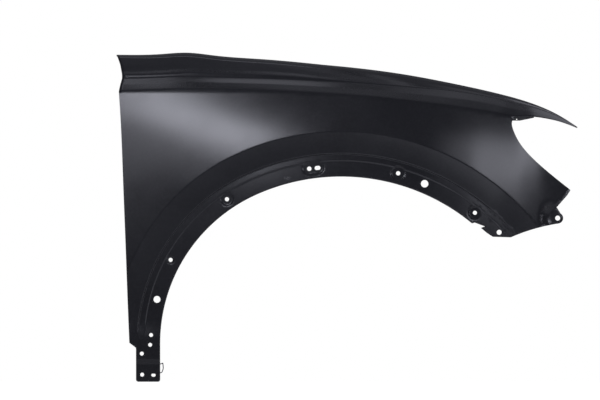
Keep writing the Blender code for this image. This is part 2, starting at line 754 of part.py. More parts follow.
def cut_holes(item, places, radius, depth, cutters):
    """Bores upright round holes through an object."""
    for index, place in enumerate(places):
        cage = bmesh.new()
        bmesh.ops.create_cone(
            cage, cap_ends=True, segments=HOLE_SIDES + 4, radius1=radius, radius2=radius, depth=depth,
        )
        mesh = bpy.data.meshes.new(f"{item.name}_hole_{index + 1}")
        cage.to_mesh(mesh)
        cage.free()
        cutter = bpy.data.objects.new(mesh.name, mesh)
        cutter.location = place
        cutter.parent = item.parent
        cutter.hide_render = True
        cutter.display_type = "WIRE"
        cutters.objects.link(cutter)
        cut = item.modifiers.new(mesh.name, "BOOLEAN")
        cut.operation = "DIFFERENCE"
        cut.solver = "EXACT"
        cut.object = cutter


def rail_middle(x):
    """Gives the middle of the rail flange at a distance along the car."""
    share = float(share_at(x))
    edge_depth = float(side_depth(x, float(crease(share)) * RISE))
    edge_depth += SHOULDER_DEPTH * float(shoulder_depth(share))
    return Vector((x, edge_depth + HOOD_EDGE_RADIUS + RAIL_WIDTH / 2, float(rail_level(x))))


def build_panel(material, collection, cutters, parent):
    """Builds the whole pressed panel."""
    cage = bmesh.new()
    crease_line = build_shoulder(cage)
    build_side(cage, crease_line)
    panel = add_object("fender_panel", finish_sheet(cage, "fender_panel"), material, collection, parent)
    thicken(panel, SHEET)
    bolts = [rail_middle(float(x_at(share))) for share in RAIL_BOLT_SHARES]
    cut_holes(panel, bolts, RAIL_HOLE_RADIUS, 2 * CUT_OVERRUN, cutters)
    return panel


def build_bracket(material, collection, parent):
    """Builds the folded bracket that carries the lamp, seated under the rail's last pad."""
    seat = rail_middle(float(x_at(RAIL_BOLT_SHARES[-1])))
    top = seat.z - SHEET - SEAT_GAP
    rear = seat.x + RAIL_PAD_HALF - BRACKET_SEAT_LENGTH
    front = rear + BRACKET_SEAT_LENGTH
    ends = [rail_middle(rear).y - RAIL_WIDTH / 4, rail_middle(rear + BRACKET_REACH).y - RAIL_WIDTH / 4]
    foot = top - BRACKET_DROP
    shoulder = foot + BRACKET_TAB_HEIGHT * 2
    end = rear + BRACKET_REACH
    flat_end = rear + BRACKET_REACH * BRACKET_FLAT_SHARE
    outline = [
        (rear, top), (rear, foot), (flat_end, foot), (end, foot + BRACKET_TAB_HEIGHT),
        (end, shoulder), (front, shoulder), (front, top),
    ]
    along, above = BRACKET_HOLE_SHARES
    bore = (rear + BRACKET_REACH * along, foot + BRACKET_TAB_HEIGHT * above)
    hole = slot_ring(bore, BRACKET_HOLE_RADIUS, 0.0, 90, HOLE_SIDES)
    count = len(outline)
    ring_edges = [(index, (index + 1) % count) for index in range(count)]
    hole_edges = [(count + index, count + (index + 1) % len(hole)) for index in range(len(hole))]
    drawn = [Vector(point) for point in outline] + [Vector(point) for point in hole]
    flat, _, faces, _, _, _ = delaunay_2d_cdt(drawn, ring_edges + hole_edges, [], 0, WELD)
    flat = np.array([tuple(point) for point in flat])
    centres = flat[np.array(faces)].mean(axis=1)
    kept = inside(centres, np.array(outline)) & ~inside(centres, hole)
    cage = bmesh.new()
    depths = np.interp(flat[:, 0], (rear, end), ends)
    corners = [cage.verts.new((x, depth, z)) for (x, z), depth in zip(flat, depths)]
    for face in np.array(faces)[kept]:
        cage.faces.new([corners[index] for index in face])
    edge = cage.edges.get((corners[0], corners[count - 1]))
    fold_return(cage, [edge], ((0, BRACKET_SEAT_WIDTH, 0),))
    bracket = add_object("lamp_bracket", finish_sheet(cage, "lamp_bracket"), material, collection, parent)
    thicken(bracket, BRACKET_SHEET)
    return bracket


def build_clip(material, collection, parent):
    """Builds the bent spring clip that grips the back of the leg and stands past its arch edge."""
    edge = -ARCH_REAR_RADIUS
    foot = CLIP_FOOT_RISE - LEG_DROP
    depth = LEG_INSET + FOOT_PAD_STEP + SHEET + SEAT_GAP
    profile = [(edge - CLIP_GRIP, foot), (edge - CLIP_SHEET, foot)]
    for reach_share, height_share in CLIP_BEND_SHARES:
        profile.append((edge + CLIP_REACH * reach_share, foot + CLIP_HEIGHT * height_share))
    top = foot + CLIP_HEIGHT * CLIP_TOP_SHARE
    profile += [(edge - CLIP_SHEET, top), (edge - CLIP_GRIP, top)]
    cage = bmesh.new()
    near = [cage.verts.new((x, depth, z)) for x, z in profile]
    far = [cage.verts.new((x, depth + CLIP_DEPTH, z)) for x, z in profile]
    count = len(profile)
    for index in range(count):
        after = (index + 1) % count
        cage.faces.new((near[index], far[index], far[after], near[after]))
    clip = add_object("liner_clip", finish_sheet(cage, "liner_clip"), material, collection, parent)
    thicken(clip, CLIP_SHEET)
    return clip


def make_material(name, colour, roughness, metallic):
    """Makes a Principled material."""
    material = bpy.data.materials.new(name)
    material.use_nodes = True
    shader = material.node_tree.nodes["Principled BSDF"]
    shader.inputs["Base Color"].default_value = (*colour, 1.0)
    shader.inputs["Roughness"].default_value = roughness
    shader.inputs["Metallic"].default_value = metallic
    material.diffuse_color = (*colour, 1.0)
    return material


def primer_black():
    return make_material("primer_black", (0.020, 0.021, 0.024), 0.38, 0.0)


def bracket_primer():
    return make_material("bracket_primer", (0.030, 0.031, 0.034), 0.45, 0.0)


def clip_zinc():
    return make_material("clip_zinc", (0.18, 0.18, 0.19), 0.35, 1.0)


def main():
    for item in list(bpy.data.objects):
        bpy.data.objects.remove(item, do_unlink=True)
    collection = bpy.data.collections.new("car_fender")
    cutters = bpy.data.collections.new("cutters")
    bpy.context.scene.collection.children.link(collection)
    bpy.context.scene.collection.children.link(cutters)

    datum = rail_middle(float(x_at(DATUM_BOLT_SHARE)) + DATUM_OFFSET)
    datum.z -= SHEET
    root = bpy.data.objects.new("rail_datum", None)
    root.location = -datum
    collection.objects.link(root)

    build_panel(primer_black(), collection, cutters, root)
    build_bracket(bracket_primer(), collection, root)
    build_clip(clip_zinc(), collection, root)
    bpy.context.view_layer.update()


main()
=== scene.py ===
"""Looks of the right-hand front fender: pressed panel, lamp bracket, liner clip, light and camera."""

import math

import bmesh
import bpy
import numpy as np
from mathutils import Matrix, Quaternion, Vector
from mathutils.geometry import delaunay_2d_cdt
from mathutils.kdtree import KDTree


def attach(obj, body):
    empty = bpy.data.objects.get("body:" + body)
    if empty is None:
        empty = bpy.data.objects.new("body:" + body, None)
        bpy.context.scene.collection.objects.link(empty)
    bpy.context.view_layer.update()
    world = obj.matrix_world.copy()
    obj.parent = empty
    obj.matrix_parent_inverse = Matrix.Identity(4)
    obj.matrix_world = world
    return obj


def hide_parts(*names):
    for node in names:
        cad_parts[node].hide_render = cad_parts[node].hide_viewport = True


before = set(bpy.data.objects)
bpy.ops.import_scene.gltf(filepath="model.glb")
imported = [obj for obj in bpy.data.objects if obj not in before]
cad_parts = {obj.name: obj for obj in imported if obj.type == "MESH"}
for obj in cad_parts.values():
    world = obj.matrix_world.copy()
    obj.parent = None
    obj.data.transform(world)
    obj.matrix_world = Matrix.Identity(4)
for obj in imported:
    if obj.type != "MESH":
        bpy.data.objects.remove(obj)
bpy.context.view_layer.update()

# Wheel arch: the leg's straight edge, a rear arc and a wider front arc, tangent to each other
ARCH_REAR_RADIUS = 0.3664
ARCH_FRONT_RADIUS = 0.4658
ARCH_JOIN_DEG = 114.0
ARCH_END_DEG = 50.7

# Overall sizes, from the centre of the rear arc
WIDTH_BEHIND_ARCH = 0.0992
REAR_REACH = ARCH_REAR_RADIUS + WIDTH_BEHIND_ARCH
FRONT_REACH = 0.5744
RISE = 0.6548
SHEET = 0.0008

# Section of the arch, as widths measured outward from its edge
FLANGE_WIDTH = 0.0345
FLANGE_BEND_RUN = 0.0028
STEP_START = 0.0495
STEP_RUN = 0.003
LIP_WIDTH = 0.1015
FOLD_OVERRUN_DEG = 12.0

# Section of the arch, as depths inboard of the side
LIP_SLOPE_OUTER = 0.37
LIP_SLOPE_INNER = 0.23
STEP_DEPTH = 0.004
FLANGE_BEND_DEPTH = 0.0016

# Apron at the front end of the arch: degrees about the front arc, and shares of the lip width
APRON_EDGE_SHARES = (
    (50.3, 0.051), (48.7, 0.098), (47.5, 0.138), (48.05, 0.053),
    (45.8, 0.064), (44.0, 0.096), (40.7, 0.382),
)
APRON_BOW_SHARE = 0.033

# Leg below the arch, with the foot pad that is fixed to the sill
LEG_DROP = 0.0866
LEG_SET_BACK = 0.015
LEG_INSET = 0.03
LEG_SHOULDER_DROP = 0.0133
LEG_CORNER_RADIUS = 0.005
LEG_BLEND_RISE = 0.05
LEG_FLAT_START = 0.004
FOOT_PAD_HEIGHT = 0.04
FOOT_PAD_STEP = 0.003
FOOT_PAD_STEP_RUN = 0.011

# Side surface: depth along the car as shares of the nose sweep, and up it as shares of the lean
NOSE_SWEEP = 0.13
SIDE_PLAN_SHARES = (
    (-1.0, 0.14), (-0.7, 0.07), (-0.35, 0.02), (0.0, 0.0), (0.3, 0.025),
    (0.5, 0.095), (0.7, 0.27), (0.85, 0.55), (1.0, 1.0),
)
SIDE_LEAN = 0.018
SIDE_SECTION_SHARES = (
    (-0.3, 0.3), (0.0, 0.12), (0.2, 0.02), (0.4, 0.0), (0.6, 0.1), (0.75, 0.42), (0.88, 1.0),
)

# Outline, as shares along X and up Z
HOOD_EDGE_SHARES = (
    (-1.0, 0.993), (-0.788, 0.995), (-0.662, 1.0), (-0.522, 0.99), (-0.294, 0.9775),
    (-0.0615, 0.963), (0.139, 0.9464), (0.327, 0.924), (0.516, 0.8928), (0.704, 0.8558),
    (0.8457, 0.8178), (0.94, 0.7784), (1.0, 0.7445),
)
CREASE_SHARES = (
    (-0.987, 0.8652), (-0.8367, 0.8686), (-0.643, 0.8728), (-0.449, 0.8731), (-0.2553, 0.8686),
    (-0.013, 0.8593), (0.1858, 0.8469), (0.3822, 0.8272), (0.5786, 0.804), (0.6964, 0.786),
    (0.7494, 0.7788), (0.8024, 0.7798), (0.8731, 0.7736), (0.932, 0.7622), (1.0, 0.7407),
)
REAR_EDGE_SHARES = (
    (-0.987, 0.8652), (-0.9782, 0.768), (-0.9661, 0.562), (-0.9535, 0.3305), (-0.9433, 0.13),
    (-0.936, 0.0017),
)
LAMP_EDGE_SHARES = (
    (0.7494, 0.7788), (0.7404, 0.7591), (0.7451, 0.7349), (0.7745, 0.6844), (0.8221, 0.6364),
    (0.8928, 0.5821), (0.9729, 0.5268),
)
NOSE_EDGE_SHARES = ((0.9591, 0.5081), (0.9175, 0.4673))
EAR_CENTRE_SHARES = (0.9214, 0.43)
EAR_RADIUS = 0.0124
EAR_START_DEG = 58.0
EAR_END_DEG = -85.0
EAR_FLAT_RADIUS = 0.016
EAR_BLEND = 0.03

# Shoulder between the crease and the hood gap
LAMP_CORNER_SHARE = 0.7494
SHOULDER_DEPTH = 0.09
SHOULDER_DEPTH_SHARES = (
    (-1.0, 0.86), (-0.5, 0.93), (0.0, 0.97), (0.5, 0.9), (0.75, 0.72), (0.87, 0.46),
    (0.95, 0.22), (1.0, 0.06),
)
VALLEY_SHARES = (
    (-1.0, 0.357), (-0.6, 0.35), (-0.16, 0.395), (0.11, 0.445), (0.34, 0.545), (0.46, 0.64),
    (0.58, 0.715), (0.7, 0.73), (0.8, 0.69), (1.0, 0.68),
)
BEAD_SHARES = ((-1.0, 0.096), (-0.6, 0.115), (-0.16, 0.11), (0.11, 0.055), (0.34, 0.025), (1.0, 0.02))
STRIP_SHARES = (
    (-1.0, 0.93), (-0.6, 0.885), (0.11, 0.855), (0.46, 0.81), (0.7, 0.8), (0.8, 0.76), (1.0, 0.75),
)
SHOULDER_REAR_SHARES = (
    (0.0, -0.987), (0.18, -0.9806), (0.36, -0.972), (0.58, -0.9763), (0.85, -0.9876), (1.0, -1.0),
)

# Section of the shoulder, zone by zone: the depth reached as a share of the whole, then its facets as
# shares of the zone's rise and of the zone's depth. The valley and the bead are one bead share high.
VALLEY_DEPTH_SHARE = 0.33
VALLEY_WALL_SHARE = 0.18
BEAD_WALL_SHARE = 0.86
STRIP_DEPTH_SHARE = 0.61
BELOW_VALLEY_SHARES = ((0.0, 0.0), (0.1, 0.045), (0.55, 0.485), (1.0, 1.0))
BEAD_TO_STRIP_SHARES = ((0.5, 0.46), (1.0, 1.0))
TOP_STRIP_SHARES = ((0.5, 0.34), (0.85, 0.74), (1.0, 1.0))

# Wall of the hood gap and the rail flange at its foot
HOOD_EDGE_RADIUS = 0.002
RAIL_WALL = 0.026
RAIL_WALL_LIMIT_SHARE = 0.62
RAIL_WIDTH = 0.024
RAIL_REAR_SHARE = -0.95
RAIL_END_SHARE = 0.783
DATUM_BOLT_SHARE = -0.42
RAIL_BOLT_SHARES = (-0.8, DATUM_BOLT_SHARE, 0.02, 0.38, 0.685)
RAIL_PAD_HALF = 0.022
RAIL_HOLE_RADIUS = 0.0045
RAIL_CUTTER_LENGTH = 0.02
DATUM_OFFSET = 0.013

# Return flanges
DOOR_RETURN = 0.013
LAMP_RETURN = 0.008
RETURN_RADIUS = 0.0015

# Recessed clip pads along the arch
CLIP_PAD_RADIUS = 0.0155
CLIP_PAD_DEPTH = 0.0022
CLIP_PAD_WALL = 0.003
CLIP_PAD_SHARES = (
    # degrees, then shares: inset of the flange width, radius and half length of the pad radius
    (151.3, 0.71, 0.61, 0.0),
    (123.7, 0.672, 1.0, 0.0),
    (97.3, 0.661, 0.97, 0.645),
    (74.8, 0.713, 1.1, 0.0),
    (51.9, 0.661, 1.03, 0.0),
)

# Clip holes in the arch flange and bolt holes in the leg
CLIP_HOLE_RADIUS = 0.0047
TOOLING_HOLE_RADIUS = 0.008
ARCH_HOLE_SHARES = (
    # degrees, then shares: inset of the flange width, radius and half length of the clip hole radius
    (151.3, 0.71, 0.96, 0.0),
    (123.7, 0.672, 1.0, 0.0),
    (98.4, 0.667, 1.06, 0.0),
    (96.2, 0.649, 0.98, 0.43),
    (74.8, 0.713, 1.02, 0.0),
    (51.9, 0.661, 0.98, 0.0),
    (43.7, 0.783, 1.21, 0.0),
)
TOOLING_HOLE_SHARES = (
    # the same, with shares of the tooling hole radius
    (165.2, 0.58, 0.97, 0.0),
    (67.3, 0.632, 1.05, 0.0),
)
LEG_HOLE_RADIUS = 0.0044
LEG_HOLE_SHARES = (
    # shares: inset of the leg width, height of the leg drop, radius and half length of the hole radius
    (0.377, 0.216, 1.0, 0.0),
    (0.415, -0.039, 0.98, 0.0),
    (0.759, -0.268, 1.0, 0.0),
    (0.746, -0.815, 1.0, 0.0),
    (0.278, -0.826, 0.82, 0.27),
)
EAR_HOLE_RADIUS = 0.0056

# Lamp bracket
BRACKET_SHEET = 0.0012
SEAT_GAP = 0.0003
BRACKET_SEAT_LENGTH = 0.018
BRACKET_SEAT_WIDTH = 0.015
BRACKET_DROP = 0.0345
BRACKET_REACH = 0.079
BRACKET_TAB_HEIGHT = 0.0065
BRACKET_HOLE_RADIUS = 0.0014
BRACKET_HOLE_SHARES = (0.505, 0.43)
BRACKET_FLAT_SHARE = 0.6

# Liner clip
CLIP_SHEET = 0.002
CLIP_DEPTH = 0.012
CLIP_HEIGHT = 0.026
CLIP_REACH = 0.008
CLIP_GRIP = 0.022
CLIP_FOOT_RISE = 0.018
CLIP_BEND_SHARES = ((0.6, 0.1), (1.0, 0.45), (0.85, 0.97))
CLIP_TOP_SHARE = 0.85

# Fineness of the looks
ARCH_STEP = 0.006
OUTLINE_STEP = 0.006
OUTLINE_FINE_STEP = 0.003
STATION_STEP = 0.008
BLADE_STATIONS = 26
HOLE_SIDES = 28
SHARP_DEG = 40
WELD = 0.00001
SLIVER_AREA = 0.00000001

# Roundness of the looks: radii, how far a press step overruns its wall, and cuts before a rounded corner
CREASE_RADIUS = 0.0016
LIP_END_RADIUS = 0.001
STEP_EASE = 0.0008
BEND_EASE = 0.0006
HOOD_ROLL_STRETCH = 1.5
FACET_FOLD = 0.0022
FACET_FOLD_LIMIT = 0.45
RETURN_FOLD_SHARES = ((0.08, 0.35), (0.17, 0.3), (0.25, 0.35))
RETURN_LEAN_SHARE = 0.2
RETURN_ROWS = 3
WALL_ROW_SHARES = (0.34, 0.67, 1.0)
RAIL_ROW_SHARES = (0.2, 0.4, 0.6, 0.8, 1.0)
CLIP_FOLD = 0.0022
CLIP_FOLD_LIMIT = 0.35
CLIP_ROUND = 0.00018
BRACKET_ROUND = 0.0002

# Offsets from the arch edge at which its section is sampled
ARCH_RUNS = (
    # first, last and step
    (0.003, FLANGE_WIDTH - 0.002, 0.0035),
    (FLANGE_WIDTH + 0.0065, STEP_START - 0.003, 0.003),
    (STEP_START + 0.008, LIP_WIDTH - 0.008, 0.005),
)
ARCH_FOLDS = (
    # middle, half width and step
    (FLANGE_WIDTH + FLANGE_BEND_RUN / 2, 0.0028, 0.0007),
    (STEP_START + STEP_RUN / 2, 0.003, 0.00075),
    (LIP_WIDTH, 0.0024, 0.0006),
)
CREASE_OFFSETS = (-0.005, 0.005, 0.01, 0.015)

# Points inside the blank, and the gaps that they keep. The leg's grid is its step across, step up and gap.
POINT_GAP = 0.0006
HOLE_CLEARANCE = 0.0007
HOLE_RINGS = ((0.0012, POINT_GAP), (0.003, 0.0012))
PAD_RING_SHARES = (1.06, 1.0, 0.95, 0.9, 0.85, 0.8, 0.74, 0.64, 0.52)
PAD_RING_STEP = 0.0022
LEG_GRID = (0.003, 0.002, 0.0014)
LATTICES = (
    # step, low corner, high corner: beside the leg, at the nose, and the rest
    (0.004, (-0.46, -0.09), (-0.35, 0.1)),
    (0.004, (0.33, 0.22), (0.58, 0.3)),
    (0.008, (-0.48, -0.09), (0.6, 0.66)),
)
LATTICE_GAP_SHARE = 0.62
THIN_CELL = 0.004
BRACKET_STEP = 0.0015
BRACKET_GAP = 0.0009
BRACKET_SEAT_ROWS = 6
BRACKET_SHARP_DEG = 30

# Paint and plating. A noise is its scale, detail and roughness, a bump its strength and distance.
PRIMER_IOR = 1.45
PRIMER_ROUGHNESS = 0.21
PRIMER_DARK = (0.0115, 0.0118, 0.0142)
PRIMER_LIGHT = (0.0145, 0.0148, 0.0175)
FLOW_NOISE = (9.0, 4.0, 0.55)
DUST_NOISE = (160.0, 6.0, 0.7)
DUST_COLOUR = (0.1, 0.1, 0.105)
DUST_SHARE = 0.035
RUB_NOISE = (420.0, 4.0, 0.8)
RUB_COLOUR = (0.16, 0.16, 0.165)
RUB_PLACE = (0.102, -0.097, -0.2458)
RUB_STRETCH = (95.0, 60.0, 170.0)
RUB_SHARE = 0.55
PEEL_NOISE = (420.0, 2.0, 0.4)
PEEL_BUMP = (0.12, 0.00006)
GRAIN_NOISE = (1900.0, 3.0, 0.6)
GRAIN_BUMP = (0.18, 0.00002)
BRACKET_LOOK = {
    "metallic": 0.0, "patches": (220.0, 4.0, 0.6), "spread": (0.35, 0.68),
    "dark": (0.022, 0.023, 0.026), "light": (0.04, 0.041, 0.044), "roughness": (0.38, 0.52),
    "grain": (900.0, 3.0, 0.6), "bump": (0.2, 0.00005),
}
CLIP_LOOK = {
    "metallic": 1.0, "patches": (300.0, 4.0, 0.6), "spread": (0.35, 0.7),
    "dark": (0.13, 0.13, 0.14), "light": (0.23, 0.23, 0.24), "roughness": (0.28, 0.45),
    "grain": (1500.0, 2.0, 0.5), "bump": (0.15, 0.00003),
}

# Light and camera
WORLD_STRENGTH = 0.125
LIGHT_TINT = (0.88, 0.89, 1.0)
SOFT_BOXES = (
    # name, place, aim, roll in degrees, width, height, power
    ("left_key", (-0.22, -1.1, 0.11), (-0.22, 0.0, 0.11), -38.0, 0.6, 0.16, 4.25),
    ("left_fill", (-0.35, -1.1, -0.05), (-0.35, 0.0, -0.05), 0.0, 0.3, 0.25, 0.4),
    ("left_side", (-0.6, -1.1, -0.1), (-0.6, 0.0, -0.1), 0.0, 0.3, 0.5, 0.9),
    ("right_key", (1.3, -1.1, -0.12), (1.3, 0.0, -0.12), 0.0, 0.8, 0.22, 3.2),
    ("right_side", (1.75, -0.9, -0.05), (0.6, 0.0, -0.2), 0.0, 0.4, 0.2, 1.95),
    ("right_fill", (0.85, -1.1, -0.08), (0.85, 0.0, -0.08), 0.0, 0.3, 0.14, 0.28),
    ("low_front", (0.43, -0.6, -0.62), (0.38, -0.05, -0.22), 0.0, 0.5, 0.2, 0.36),
    ("ceiling_wide", (0.1, -0.6, 1.0), (0.1, -0.6, 0.0), 0.0, 2.2, 0.8, 1.1),
    ("ceiling_back", (-0.2, 0.3, 1.0), (-0.2, 0.3, 0.0), 0.0, 0.9, 0.5, 1.85),
    ("ceiling_middle", (0.4, -0.3, 1.0), (0.4, -0.3, 0.0), 0.0, 0.7, 0.6, 0.5),
    ("ceiling_near", (0.8, 0.1, 1.0), (0.55, -0.03, -0.02), 0.0, 0.7, 0.6, 0.8),
    ("ceiling_front", (1.0, -0.3, 1.0), (1.0, -0.3, 0.0), 0.0, 0.5, 0.6, 0.7),
    ("ceiling_rear", (-0.5, -0.3, 1.0), (-0.5, -0.3, 0.0), 0.0, 0.5, 0.6, 1.6),
    ("nose_box", (1.35, 0.4, 0.65), (0.6, -0.03, -0.04), 0.0, 1.0, 0.6, 3.0),
    ("back_left", (-1.5, 0.9, -0.35), (0.1, 0.0, -0.3), 0.0, 0.6, 0.6, 9.0),
    ("back_right", (1.9, 0.9, -0.35), (0.3, 0.0, -0.3), 0.0, 0.6, 0.6, 9.0),
)
FLOOR_HEIGHT = -0.76
FLOOR_PLACE = (0.13, 0.0, FLOOR_HEIGHT)
FLOOR_SIZE = 4.0
FLOOR_COLOUR = (0.82, 0.82, 0.82, 1.0)
FADE_MIDDLE = (0.2, 0.0, FLOOR_HEIGHT)
FADE_REACH = (0.6, 2.2)
FLOOR_SEEN = (0.66, 0.93)
CAMERA_DISTANCE = 30.0
SENSOR_MM = 36.0
FRAME_WIDTH = 1.354
FRAME_CENTRE = (-0.0518, 0.3224)


def natural_curve(table):
    """Returns the natural cubic curve through a table of (place, value) pairs."""
    knots = np.array([pair[0] for pair in table], float)
    values = np.array([pair[1] for pair in table], float)
    step = np.diff(knots)
    matrix = np.eye(len(knots))
    right = np.zeros(len(knots))
    for row in range(1, len(knots) - 1):
        matrix[row, row - 1:row + 2] = step[row - 1], 2 * (step[row - 1] + step[row]), step[row]
        right[row] = 6 * (
            (values[row + 1] - values[row]) / step[row] - (values[row] - values[row - 1]) / step[row - 1]
        )
    bend = np.linalg.solve(matrix, right)

    def curve(place):
        place = np.asarray(place, float)
        span = np.clip(np.searchsorted(knots, place) - 1, 0, len(knots) - 2)
        before = place - knots[span]
        after = knots[span + 1] - place
        width = step[span]
        chord = (values[span] * after + values[span + 1] * before) / width
        low = bend[span] * (after ** 3 / width - width * after) / 6
        high = bend[span + 1] * (before ** 3 / width - width * before) / 6
        return chord + low + high

    return curve


def ease(share):
    """Eases from 0 to 1 with level ends."""
    share = np.clip(share, 0.0, 1.0)
    return share * share * (3 - 2 * share)


def x_at(share):
    """Turns a share along the car into a distance from the arch centre."""
    share = np.asarray(share, float)
    return np.where(share < 0, share * REAR_REACH, share * FRONT_REACH)


def share_at(x):
    """Turns a distance from the arch centre into a share along the car."""
    x = np.asarray(x, float)
    return np.where(x < 0, x / REAR_REACH, x / FRONT_REACH)


side_plan = natural_curve(SIDE_PLAN_SHARES)
side_section = natural_curve(SIDE_SECTION_SHARES)
hood_edge = natural_curve(HOOD_EDGE_SHARES)
crease = natural_curve(CREASE_SHARES)
shoulder_depth = natural_curve(SHOULDER_DEPTH_SHARES)
valley = natural_curve(VALLEY_SHARES)
bead = natural_curve(BEAD_SHARES)
strip = natural_curve(STRIP_SHARES)
shoulder_rear = natural_curve(SHOULDER_REAR_SHARES)


def smooth_line(shares, step):
    """Samples a smooth line through points given as shares, about one step apart."""
    corners = np.array([(float(x_at(x)), z * RISE) for x, z in shares])
    chord = np.concatenate(([0.0], np.cumsum(np.linalg.norm(np.diff(corners, axis=0), axis=1))))
    count = max(2, round(chord[-1] / step))
    places = np.linspace(0.0, chord[-1], count + 1)
    return np.column_stack([natural_curve(list(zip(chord, line)))(places) for line in corners.T])


def front_centre():
    """Gives the centre of the arch's front arc."""
    join = math.radians(ARCH_JOIN_DEG)
    offset = ARCH_FRONT_RADIUS - ARCH_REAR_RADIUS
    return np.array((-offset * math.cos(join), -offset * math.sin(join)))


def arch_point(degrees, inset):
    """Gives the point at an angle along the arch and a distance outward from its edge."""
    angle = math.radians(degrees)
    ray = np.array((math.cos(angle), math.sin(angle)))
    if degrees >= ARCH_JOIN_DEG:
        return (ARCH_REAR_RADIUS + inset) * ray
    return front_centre() + (ARCH_FRONT_RADIUS + inset) * ray


def arch_inset(x, z):
    """Gives the distance outward from the arch edge, for arrays of points."""
    centre = front_centre()
    rear = np.hypot(x, z) - ARCH_REAR_RADIUS
    front = np.hypot(x - centre[0], z - centre[1]) - ARCH_FRONT_RADIUS
    leg = -ARCH_REAR_RADIUS - x
    angle = np.degrees(np.arctan2(z, x))
    above = np.where(angle >= ARCH_JOIN_DEG, rear, front)
    return np.where((z < 0) & (x < 0), leg, above)


def soft(value, radius):
    """Bends from a level line to a slope of one, over twice the radius."""
    value = np.asarray(value, float)
    bend = (value + radius) ** 2 / (4 * radius)
    return np.where(value <= -radius, 0.0, np.where(value >= radius, value, bend))


def lip_depth(inset):
    """Gives the depth of the arch section inboard of the side surface."""
    step_end = STEP_START + STEP_RUN
    lip_run = LIP_WIDTH - step_end
    along = lip_run - soft(lip_run - soft(LIP_WIDTH - inset, CREASE_RADIUS), LIP_END_RADIUS)
    slope_change = (LIP_SLOPE_OUTER - LIP_SLOPE_INNER) / lip_run
    lip = LIP_SLOPE_OUTER * along - slope_change * along ** 2 / 2
    step = STEP_DEPTH * ease((step_end + STEP_EASE - inset) / (STEP_RUN + 2 * STEP_EASE))
    bend_end = FLANGE_WIDTH + FLANGE_BEND_RUN
    bend = ease((bend_end + BEND_EASE - inset) / (FLANGE_BEND_RUN + 2 * BEND_EASE))
    return lip + step + FLANGE_BEND_DEPTH * bend


def slot_distance(x, z, centre, half_length, degrees):
    """Gives the distance from the middle line of a round or long hole or pad."""
    angle = math.radians(degrees - 90)
    along = (x - centre[0]) * math.cos(angle) + (z - centre[1]) * math.sin(angle)
    across = (z - centre[1]) * math.cos(angle) - (x - centre[0]) * math.sin(angle)
    return np.hypot(np.maximum(np.abs(along) - half_length, 0.0), across)


def side_depth(x, z):
    """Gives the depth of the crowned side surface, without the arch section."""
    plan = NOSE_SWEEP * side_plan(share_at(x))
    section = SIDE_LEAN * side_section(z / RISE)
    return plan + section


def ear_centre():
    """Gives the centre of the front ear."""
    return np.array((float(x_at(EAR_CENTRE_SHARES[0])), EAR_CENTRE_SHARES[1] * RISE))


def panel_depth(x, z):
    """Gives the depth of the pressed side, arch section, leg and ear, without the clip pads."""
    x = np.asarray(x, float)
    z = np.asarray(z, float)
    depth = side_depth(x, z) + lip_depth(arch_inset(x, z))

    ear_x, ear_z = ear_centre()
    ear_depth = float(side_depth(ear_x, ear_z))
    leaving = ease((np.hypot(x - ear_x, z - ear_z) - EAR_FLAT_RADIUS) / EAR_BLEND)
    depth = ear_depth + (depth - ear_depth) * leaving

    foot_top = FOOT_PAD_HEIGHT + FOOT_PAD_STEP_RUN - LEG_DROP
    foot = FOOT_PAD_STEP * ease((foot_top - z) / FOOT_PAD_STEP_RUN)
    leg = LEG_INSET + foot
    rising = ease((z - LEG_FLAT_START) / LEG_BLEND_RISE)
    return np.where(x < 0, leg + (depth - leg) * rising, depth)


def arch_slots(table, size):
    """Gives the centre, radius, half length and degrees of each hole or pad along the arch."""
    return [
        (arch_point(degrees, inset * FLANGE_WIDTH), radius * size, half_length * size, degrees)
        for degrees, inset, radius, half_length in table
    ]


def pressed_depth(x, z):
    """Gives the depth of the whole pressed side."""
    depth = panel_depth(x, z)
    for centre, radius, half_length, degrees in arch_slots(CLIP_PAD_SHARES, CLIP_PAD_RADIUS):
        floor = float(panel_depth(*centre)) + CLIP_PAD_DEPTH
        away = slot_distance(x, z, centre, half_length, degrees)
        sunk = ease((radius + BEND_EASE - away) / (CLIP_PAD_WALL + 2 * BEND_EASE))
        depth = depth + (floor - depth) * sunk
    return depth


def slot_ring(centre, radius, half_length, degrees, sides):
    """Gives the closed outline of a round or long hole or pad."""
    turn = math.radians(degrees - 90)
    ring = []
    for index in range(sides):
        angle = math.tau * (index + 0.5) / sides
        along = radius * math.cos(angle) + math.copysign(half_length, math.cos(angle))
        across = radius * math.sin(angle)
        ring.append((
            centre[0] + along * math.cos(turn) - across * math.sin(turn),
            centre[1] + along * math.sin(turn) + across * math.cos(turn),
        ))
    return np.array(ring)


def arch_line(inset, first_degrees, last_degrees):
    """Samples a line at a fixed distance outward from the arch edge."""
    travel = math.radians(first_degrees - last_degrees) * (ARCH_REAR_RADIUS + LIP_WIDTH)
    count = max(2, round(travel / ARCH_STEP))
    places = np.linspace(first_degrees, last_degrees, count + 1)
    return np.array([arch_point(degrees, inset) for degrees in places])


def rail_pad_ends():
    """Gives the rear and the front end of each rail pad, as distances from the arch centre."""
    return [float(x_at(share)) + side * RAIL_PAD_HALF for share in RAIL_BOLT_SHARES for side in (-1, 1)]


def rail_place(x):
    """Gives the place along the loft at which the rail flange passes a distance from the arch centre."""
    rear = float(x_at(RAIL_REAR_SHARE))
    return (x - rear) / (FRONT_REACH - rear)


